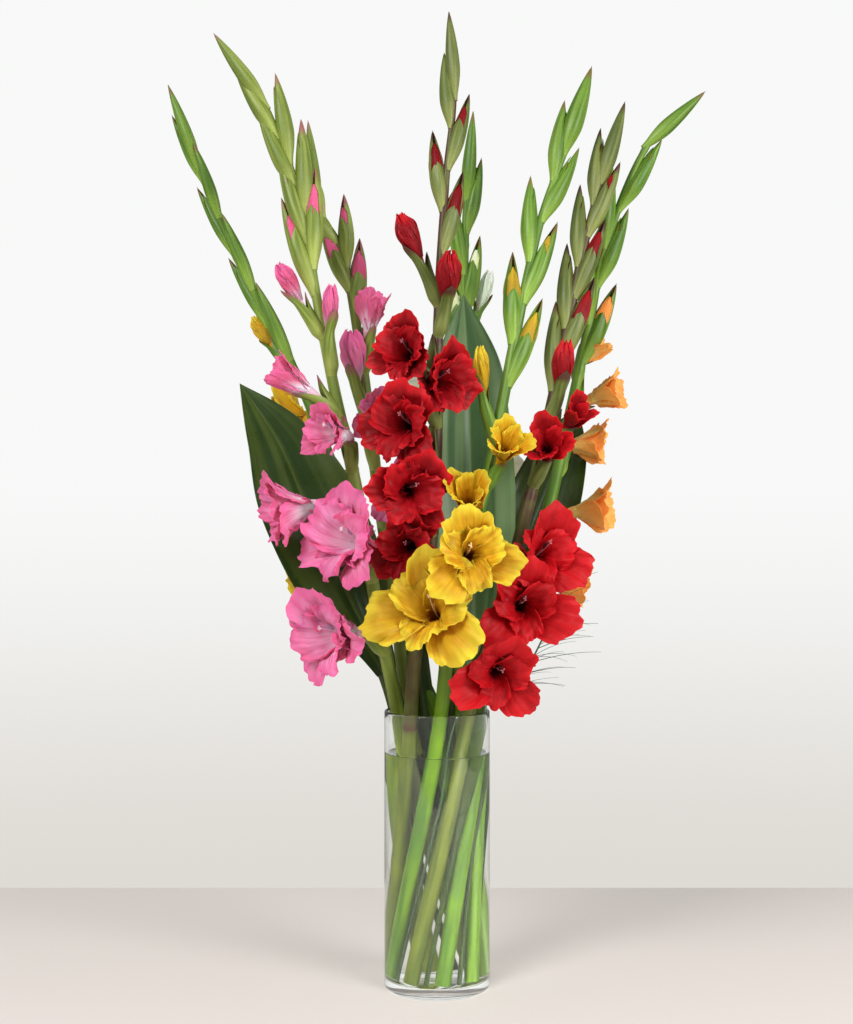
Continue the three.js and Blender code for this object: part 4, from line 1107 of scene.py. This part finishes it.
def tepalPart(seat, f, petal, way, rng):
    # the layout fans out: a point is the base (u w0, 0) moved a share v of the way to the outline
    # x = W sin(a)(1 + shoulder cos a), y = L ((1 + cos a) / 2)^crowd, a = fan pi u
    # y runs along a midrib whose angle from the axis goes from start to flare; x bends round the axis
    u = np.linspace(-1, 1, tepal["columns"])[None, :]
    v = (1 - (1 - np.linspace(0, 1, tepal["rows"])) ** 1.35)[:, None]
    phase = rng.uniform(0, 2 * math.pi, 12)
    opened, outer = f["open"], petal["outer"]
    length = f["reach"] * petal["reach"] * rng.uniform(0.95, 1.05) * (1 if outer else way["inner"])
    ruffle = way["ruffle"] * tepal["ruffleShare"][outer]
    crowd = tepal["crowd"] + rng.uniform(0, 0.25)
    start = math.radians(lerp(petal["start"] / 4, petal["start"], opened))
    flare = lerp(tepal["closedFlare"], petal["flare"] - tepal["cupBy"], opened) + rng.uniform(-6, 6) * opened
    half = length * tepal["widthShare"] * petal["width"] * lerp(tepal["closedWidth"], 1, min(1, opened * 1.6))
    half = half * rng.uniform(0.94, 1.06)

    # the outline, and the place of every point in the flat
    a = tepal["fan"] * math.pi * u
    turns = math.tau * u
    ragged = 1 + tepal["ragged"] * waves(tepal["raggedWaves"], phase, turns)
    rimX = half * np.sin(a) * (1 + tepal["shoulder"] * np.cos(a)) * ragged
    rimY = length * ((1 + np.cos(a)) / 2) ** crowd * ragged + tepal["point"] * length * bump(u, 0, 0.15)
    x = lerp(throat["radius"] * math.radians(tepal["base"]) * u, rimX, v ** 0.9)
    y = rimY * v

    # the midrib: its angle from the axis, and the way that it goes forward and outward, by the length
    s = np.linspace(0, 1.16, 90)
    angle = lerp(start, math.radians(flare), smooth((s - tepal["turnsFrom"]) / tepal["turnsOver"]))
    recurve = math.radians(tepal["recurve"] + rng.uniform(-14, 14)) * opened
    angle = angle + recurve * smooth((s - tepal["recurveFrom"]) / 0.5) ** 1.4
    axial = np.concatenate([[0], np.cumsum(np.cos(angle[:-1]) * np.diff(s))]) * length
    radial = np.concatenate([[0], np.cumsum(np.sin(angle[:-1]) * np.diff(s))]) * length
    place = y / length
    here, ahead, outwards = (np.interp(place, s, q) for q in (angle, axial, radial + throat["radius"] - 0.4))
    outwards = outwards * (1 - way["narrow"] * abs(math.cos(math.radians(petal["at"]) + seat["roll"])))
    sway = math.radians(rng.uniform(-1, 1) * tepal["sway"])
    outward = spoke(seat, math.radians(petal["at"]) + sway * smooth(place * 1.5))
    across = np.cross(seat["facing"], outward)
    inward = np.sin(here)[..., None] * seat["facing"] - np.cos(here)[..., None] * outward

    # folds, frill and crumple stand off along the normal
    folds = waves(tepal["broadWaves"], phase, turns) * (0.3 + np.abs(u))
    folds = folds + waves(tepal["crossWaves"], phase, turns)
    edge = v**3 * (0.75 + waves(tepal["edgeWaves"], phase, turns))
    frill = waves(tepal["frillWaves"], phase, turns) + v**4 * waves(tepal["fineWaves"], phase, turns)
    crumple = math.prod(np.sin(p * v + q * u + phase[k]) for k, p, q in tepal["crumpleWaves"])
    broad = tepal["fold"] * v**2 * folds
    lap = tepal["lap"] * np.sin(a) * v
    wave = broad + tepal["ruffle"] * ruffle * edge * frill + tepal["crumple"] * ruffle * v * crumple
    wave = wave - tepal["groove"] * np.sin(math.pi * v) * bump(u, 0, 0.1) + lap
    # painted light and shade: lighter on the ridges of the frill and crumple, darker in the folds between; it
    # goes to the paint as pale
    paintedRidgeLight = np.clip(0.5 + 5 * (wave - broad * 0.5 - lap), 0, 1)

    # bent round the axis and twisted
    bendRadius = np.maximum(half / tepal["mostBend"] * smooth(place * 2 + 0.15),
                            outwards * tepal["bendBy"][0] + y * tepal["bendBy"][1])
    bend = x / bendRadius
    twist = math.radians(rng.uniform(-1, 1) * tepal["twist"]) * opened * place**2
    normal = inward * np.cos(bend)[..., None] - across * np.sin(bend)[..., None]
    beside = bendRadius * np.sin(bend)
    rise = bendRadius * (1 - np.cos(bend)) + beside * np.tan(twist)
    point = seat["end"] + seat["facing"] * ahead[..., None] + outward * outwards[..., None]
    point = point + across * beside[..., None] + inward * rise[..., None]
    point = point + normal * (wave * length * math.sqrt(max(opened, 0.12)))[..., None]
    tint = f["tint"] * (1.0 if outer else 0.5)
    thick = lerp(*tepal["thick"], v**0.5)
    return sheetPart(point, thick, layoutOf(u, v), tone=rng.uniform(), tint=tint, pale=paintedRidgeLight)


def stamenParts(seat, f):
    # three filaments with anthers and a longer style with three lobes lie under the upper tepal:
    # each line is the axis + spoke (clear + arch s^2)
    made = []
    s = np.linspace(0, 1, 12)
    for side, reach in stamen["stalks"] + [stamen["style"]]:
        away = spoke(seat, math.pi / 2 + side)
        length = lerp(-stamen["seatedBy"], f["reach"] * reach, s)
        forward = seat["facing"] * length[:, None]
        arch = stamen["clear"] + stamen["arch"] * s**2 * f["reach"] / stamen["archFor"]
        line = seat["end"] + forward + away * arch[:, None]
        line = line + np.cross(seat["facing"], away) * (side * stamen["spread"] * s**2)[:, None]
        made.append(tubePart(line, lerp(*stamen["radius"], s), 6, tone=0.6, pale=0.6, material=2))
        tip, way = line[-1], unit(line[-1] - line[-2])
        if (side, reach) != stamen["style"]:
            lay = np.linspace(-1, 1, 9)
            anther = tip + (way + stamen["antherLean"] * away) * (lay * stamen["antherHalf"])[:, None]
            radius = stamen["antherRadius"] * np.sqrt(1 - lay**2 * 0.96)
            anther = anther + seat["facing"] * stamen["antherLift"]
            made.append(tubePart(anther, radius, 8, tint=0.9, material=2))
            continue
        curl = np.linspace(0, 1, 7)[:, None]
        outwards, sideways = stamen["lobeCurl"]
        for lobe in (-1, 0, 1):
            turned = way + away * outwards * lobe * curl
            turned = turned + np.cross(way, away) * sideways * (1 - abs(lobe)) * curl
            line = tip + turned * stamen["lobe"] * curl
            radius = lerp(*stamen["lobeRadius"], curl[:, 0])
            made.append(tubePart(line, radius, 6, tone=0.7, pale=1.0, material=2))
    return made


def rolledParts(seat, f, ruffle, rng):
    # petals wound on a spindle:
    # radius plump (profile(s) (1 + lift) + crumple), angle k 2 pi / n + twist s + span a
    plump, begin = plumpness(f), rolled["start"]
    s = np.linspace(0, 1, rolled["rows"])
    core = seat["end"] + seat["facing"] * (lerp(begin, rolled["coreEnd"], s) * f["reach"])[:, None]
    coreRadius = plump * through(rolled["profile"], lerp(begin, 0.95, s)) * rolled["coreShare"]
    made = [tubePart(core, coreRadius, rolled["coreSides"], like=seat["right"], layout=0.3 + 0.6 * s,
                     tone=0.1, tint=f["tint"], pale=0.1)]
    s, a = s[:, None], np.linspace(-1, 1, rolled["columns"])[None, :]
    base, more = rolled["lift"]
    lift = base + more * smooth((a + 0.2) / 1.2) * smooth(s * 1.6)
    for k in range(rolled["leaves"]):
        phase = rng.uniform(0, 2 * math.pi, 6)
        angle = k * math.tau / rolled["leaves"] + rolled["twist"] * s + rolled["span"] * a * (1 - 0.25 * s**3)
        crumple = rolled["crumple"] * waves(rolled["crumpleWaves"], phase, a, s) * smooth((s - 0.3) / 0.6)
        radius = through(rolled["profile"], lerp(begin, 1, s)) * (1 + lift) + crumple * ruffle * 0.6
        end = f["reach"] * (1 + waves(rolled["raggedWaves"], phase, a) - 0.06 * np.abs(a) ** 3)
        point = seat["end"] + seat["facing"] * (lerp(begin, 1, s) * end)[..., None]
        point = point + spoke(seat, angle) * (plump * radius)[..., None]
        # painted light and shade: lighter where the crumple stands out, darker where it sinks in; it goes to
        # the paint as pale
        paintedRidgeLight = np.clip(0.45 + 1.6 * crumple, 0, 1)
        made.append(sheetPart(point, rolled["thick"], layoutOf(a, 0.35 + 0.65 * s), tone=rng.uniform(),
                              tint=f["tint"], pale=paintedRidgeLight))
    return made, plump * rolled["rim"]


def flowerParts(curve, spike, f, rng):
    seat = flowerSeat(curve, f)
    way = manner[spike.get("look", spike["petals"])]
    if f["open"] < rolled["under"]:
        parts, rim = rolledParts(seat, f, way["ruffle"], rng)
        return parts + [tubeShell(seat, f, rim)]
    parts = [tepalPart(seat, f, petal, way, rng) for petal in whorl]
    parts.append(tubeShell(seat, f, throat["radius"] + throat["rim"]))
    return parts + (stamenParts(seat, f) if f["open"] > stamen["openFrom"] else [])


for number, spike in enumerate(spikes):
    name, petals = spike["name"], petalMaterials[spike.get("look", spike["petals"])]
    green, stamens = greenMaterials[spike["green"]], stamenMaterials[spike["petals"]]
    curve = curveThrough(standing(spike["rimTurn"], bunch["footRadius"], bunch["rimRadius"]) + spike["route"])
    rng = np.random.default_rng(100 + number)
    parts = [stemPart(curve, spike, rng)] + closedBuds(spike, curve, rng)
    for blade in spike.get("blades", []):
        parts.append(swordPart(curve, blade, np.random.default_rng(300 + number)))
    for f in spike["blooms"]:
        parts += bractParts(flowerSeat(curve, f), f, rng)
    slotName = "stem_bronze" if spike["green"] == "bronze" else "stem_fresh"
    makePiece(name + "_spike", parts, [green, petals, greenMaterials["leaf"]], slotName, name + "_stem")
    for i, f in enumerate(spike["blooms"]):
        parts = flowerParts(curve, spike, f, np.random.default_rng(1000 * (number + 1) + i))
        makePiece(f"{name}_bloom_{i + 1}", parts, [petals, green, stamens], "petal_" + spike["petals"],
                  f"{name}_flower_{i + 1}", sharp=60)
print("spikes and flowers made:", len(spikes))


# broad leaves and the fine sprig

leafShape = {
    "outline": [(0, 0.2), (0.14, 0.42), (0.32, 0.84), (0.5, 1)],  # and on to the leaf's own full share
    "fullAt": 0.84,
    "rows": 90,
    "columns": 41,
    "thick": 0.7,
    "wave": 2.5,
    "pleat": 0.1,
    "pleats": 26,
    "groove": 1.2,
    "edgeTint": 0.5,
    "rib": 1.5,
    "ribBack": 1.4,
    "ribRows": slice(4, -3),
}
leaves = [
    {"name": "broad_leaf_left", "paint": "leaf", "rimTurn": 162.5, "halfWidth": 50,
     "looks": (0.35, -0.9, 0.15), "curl": 9, "full": 0.56,
     "route": [(-50, 8, 300), (-72, 0, 346), (-100, -4, 404), (-126, 0, 461), (-152, 8, 518),
               (-190, 20, 574)]},
    {"name": "broad_leaf_centre", "paint": "paleLeaf", "rimTurn": -17.5, "halfWidth": 42,
     "looks": (0.1, -1, 0.05), "curl": 8, "full": 0.74,
     "route": [(37, 0, 306), (36, 8, 346), (34, 16, 420), (32, 22, 500), (30, 27, 580), (26, 34, 662)]},
    {"name": "broad_leaf_right", "paint": "leaf", "rimTurn": 27.5, "halfWidth": 38,
     "looks": (-0.1, -1, 0.1), "curl": 7, "full": 0.6,
     "route": [(42, 26, 306), (56, 46, 346), (84, 72, 404), (108, 84, 462), (126, 86, 512), (142, 84, 556)]},
]
stalk = {"radius": 2.2, "footRadius": 38, "rimRadius": 40, "rows": 80, "sides": 18,
         "flatFrom": 125, "flatOver": 105, "flatHalf": 8.5, "flatDeep": 1.2}
sprig = {
    "rimTurn": -62, "rimRadius": 43, "radius": 1.3, "rows": 120,
    "route": [(50, -42, 278), (80, -36, 302), (100, -28, 336), (116, -24, 376)],
    "threads": [(0.36, (118, -44, 290)), (0.46, (128, -40, 306)), (0.56, (152, -34, 320)),
                (0.66, (148, -6, 332)), (0.76, (150, -30, 346)), (0.84, (144, -4, 366)),
                (0.98, (150, -26, 394))],
    "threadRadius": 0.42, "threadArch": 6, "hairs": 3, "hairShare": 0.7, "hairReach": (0.5, 0.95),
    "rootSpread": 0.05, "tipSpread": 9,
}


def leafParts(leaf):
    # midrib point + across u width(s) + normal (curl u^2 + wave u|u| + shallow pleats - a middle groove),
    # and the stalk, which is flat near the rim and round lower down, and the midrib behind the blade
    curve = curveThrough(standing(leaf["rimTurn"], stalk["footRadius"], stalk["rimRadius"]) + leaf["route"])
    begin = reaching(curve, leaf["route"][0][2])
    s = np.linspace(0, 1, leafShape["rows"])
    t = lerp(begin - 0.01, 1, s)
    point, along = readCurve(curve, t), unit(readCurve(curve, t, "along"))
    normal = squareTo(along, np.array(leaf["looks"]))
    across = np.cross(along, normal)
    full = [(0.7, lerp(1, leaf["full"], 0.35)), (leafShape["fullAt"], leaf["full"]), (1, 0)]
    share = np.clip(through(leafShape["outline"] + full, s), 0, None)[:, None]
    u = np.linspace(-1, 1, leafShape["columns"])[None, :]
    wave = leafShape["wave"] * share * np.cos(6 * math.pi * s)[:, None] * u * np.abs(u)
    pleat = leafShape["pleat"] * np.sin(leafShape["pleats"] * u) * (1 - bump(u, 0, 0.1)) * smooth(share * 2)
    rise = leaf["curl"] * share * u**2 + wave + pleat - leafShape["groove"] * bump(u, 0, 0.06) * share
    width = share * leaf["halfWidth"] * u
    place = point[:, None] + across[:, None] * width[..., None] + normal[:, None] * rise[..., None]
    tint = leafShape["edgeTint"] * np.abs(u) ** 10
    blade = sheetPart(place, leafShape["thick"], layoutOf(u, s[:, None]), tone=0.4, tint=tint,
                      pale=bump(u, 0, 0.035))
    low = readCurve(curve, np.linspace(0, begin + 0.03, stalk["rows"]))
    flat = smooth((low[:, 2] - stalk["flatFrom"]) / stalk["flatOver"])
    rod = tubePart(low, lerp(stalk["radius"], stalk["flatHalf"], flat), stalk["sides"], tone=0.3, material=1,
                   deep=lerp(stalk["radius"], stalk["flatDeep"], flat))
    part = leafShape["ribRows"]
    behind = point[part] - normal[part] * leafShape["ribBack"]
    rib = tubePart(behind, leafShape["rib"] * (1 - 0.75 * s[part]), 10, pale=0.6)
    return [blade, rod, rib]


def sprigParts(rng):
    # a wiry stem, threads that arch as a quadratic, and finer hairs beside each thread
    curve = curveThrough(standing(sprig["rimTurn"], stalk["footRadius"], sprig["rimRadius"]) + sprig["route"])
    line = readCurve(curve, np.linspace(0, 1, sprig["rows"]))
    parts = [tubePart(line, sprig["radius"] * np.linspace(1, 0.5, sprig["rows"]), 8)]
    atRim = reaching(curve, vase["height"])
    spread, far = sprig["rootSpread"], sprig["tipSpread"]
    for at, tip in sprig["threads"]:
        tip = np.array(tip, float)
        for hair in range(sprig["hairs"] + 1):
            place = lerp(atRim, 1, np.clip(at + rng.uniform(-spread, spread) * (hair > 0), 0, 0.99))
            root = readCurve(curve, place)
            end = tip
            if hair:
                end = lerp(root, tip, rng.uniform(*sprig["hairReach"])) + rng.uniform(-far, far, 3)
            middle = lerp(root, end, 0.5) + up * sprig["threadArch"]
            w = np.linspace(0, 1, 16)[:, None]
            arch = (1 - w) ** 2 * root + 2 * w * (1 - w) * middle + w**2 * end
            radius = sprig["threadRadius"] * (sprig["hairShare"] if hair else 1) * np.linspace(1, 0.35, 16)
            parts.append(tubePart(arch, radius, 5, like=up, tone=rng.uniform()))
    return parts


for leaf in leaves:
    greens = [greenMaterials[leaf["paint"]], greenMaterials["leaf"]]
    makePiece(leaf["name"] + "_blade", leafParts(leaf), greens, "broad_leaf", leaf["name"])
threads = sprigParts(np.random.default_rng(600))
makePiece("sprig_threads", threads, [greenMaterials["sprig"]], "sprig", "fine_sprig")
print("leaves and sprig made")


# floor and studio light

studio = {
    "floorColour": "ddd5cf",
    "floorMottle": ("cfccc6", 0.12),
    "floorSpan": (1.3, -1.0, 0.39),
    "floorRough": 0.7,
    "floorSpecular": 0.2,
    "skyHigh": "f8f9f8",
    "skyLow": "dedad4",
    "skyTurns": (-0.24, 0.03),
    "skyLight": 0.56,
    "skyGloss": 0.4,
    "lookAt": (0, 0, 0.45),
    "key": {"place": (-1.2, -1.7, 1.6), "size": 1.1, "watts": 40},
    "fill": {"place": (1.5, -1.4, 0.9), "size": 1.2, "watts": 36},
}


def makeFloor():
    # a pale table top, faintly mottled: half its width, then its front and back edges in metres
    half, front, back = studio["floorSpan"]
    mesh = bpy.data.meshes.new("floor")
    corners = [(-half, front, 0), (half, front, 0), (half, back, 0), (-half, back, 0)]
    mesh.from_pydata(corners, [], [(0, 1, 2, 3)])
    material, tree, principled = newMaterial("paleFloor")
    other, share = studio["floorMottle"]
    mottle = mathNode(tree, "MULTIPLY", objectNoise(tree, 6.0, 4.0), share)
    shade = mixNode(tree, mottle, colour(studio["floorColour"]), colour(other))
    tree.links.new(shade, principled.inputs["Base Color"])
    principled.inputs["Roughness"].default_value = studio["floorRough"]
    principled.inputs["Specular IOR Level"].default_value = studio["floorSpecular"]
    mesh.materials.append(material)
    floor = bpy.data.objects.new("floor", mesh)
    scene.collection.objects.link(floor)


def makeSky():
    # near white above, a little darker below the horizon; it lights the scene and is mirrored more softly
    # than it looks
    world = bpy.data.worlds.new("studio")
    scene.world = world
    world.use_nodes = True
    tree = world.node_tree
    height = addNode(tree, "SeparateXYZ", {0: addNode(tree, "TexCoord").outputs["Generated"]}).outputs[2]
    share = rangeNode(tree, height, *studio["skyTurns"])
    shade = mixNode(tree, share, colour(studio["skyLow"]), colour(studio["skyHigh"]))
    background = tree.nodes["Background"]
    tree.links.new(shade, background.inputs["Color"])
    ray = addNode(tree, "LightPath").outputs
    mirrored = mathNode(tree, "MULTIPLY", ray["Is Glossy Ray"], ray["Is Reflection Ray"])
    dims = {"least": 1.0, "diffuse": studio["skyLight"] - 1, "mirrored": studio["skyGloss"] - 1}
    strength = weighted(tree, dims, diffuse=ray["Is Diffuse Ray"], mirrored=mirrored)
    tree.links.new(strength, background.inputs["Strength"])


def makeLight(name, place, size, watts):
    # a round area light that looks at the middle of the bunch
    light = bpy.data.lights.new(name, "AREA")
    light.shape = "DISK"
    light.size = size
    light.energy = watts
    lamp = bpy.data.objects.new(name, light)
    lamp.location = place
    way = np.array(studio["lookAt"]) - np.array(place)
    lamp.rotation_euler = (math.atan2(math.hypot(way[0], way[1]), -way[2]), 0,
                           math.atan2(way[1], way[0]) - math.pi / 2)
    scene.collection.objects.link(lamp)


makeFloor()
makeSky()
makeLight("key", **studio["key"])
makeLight("fill", **studio["fill"])
print("floor and light made")

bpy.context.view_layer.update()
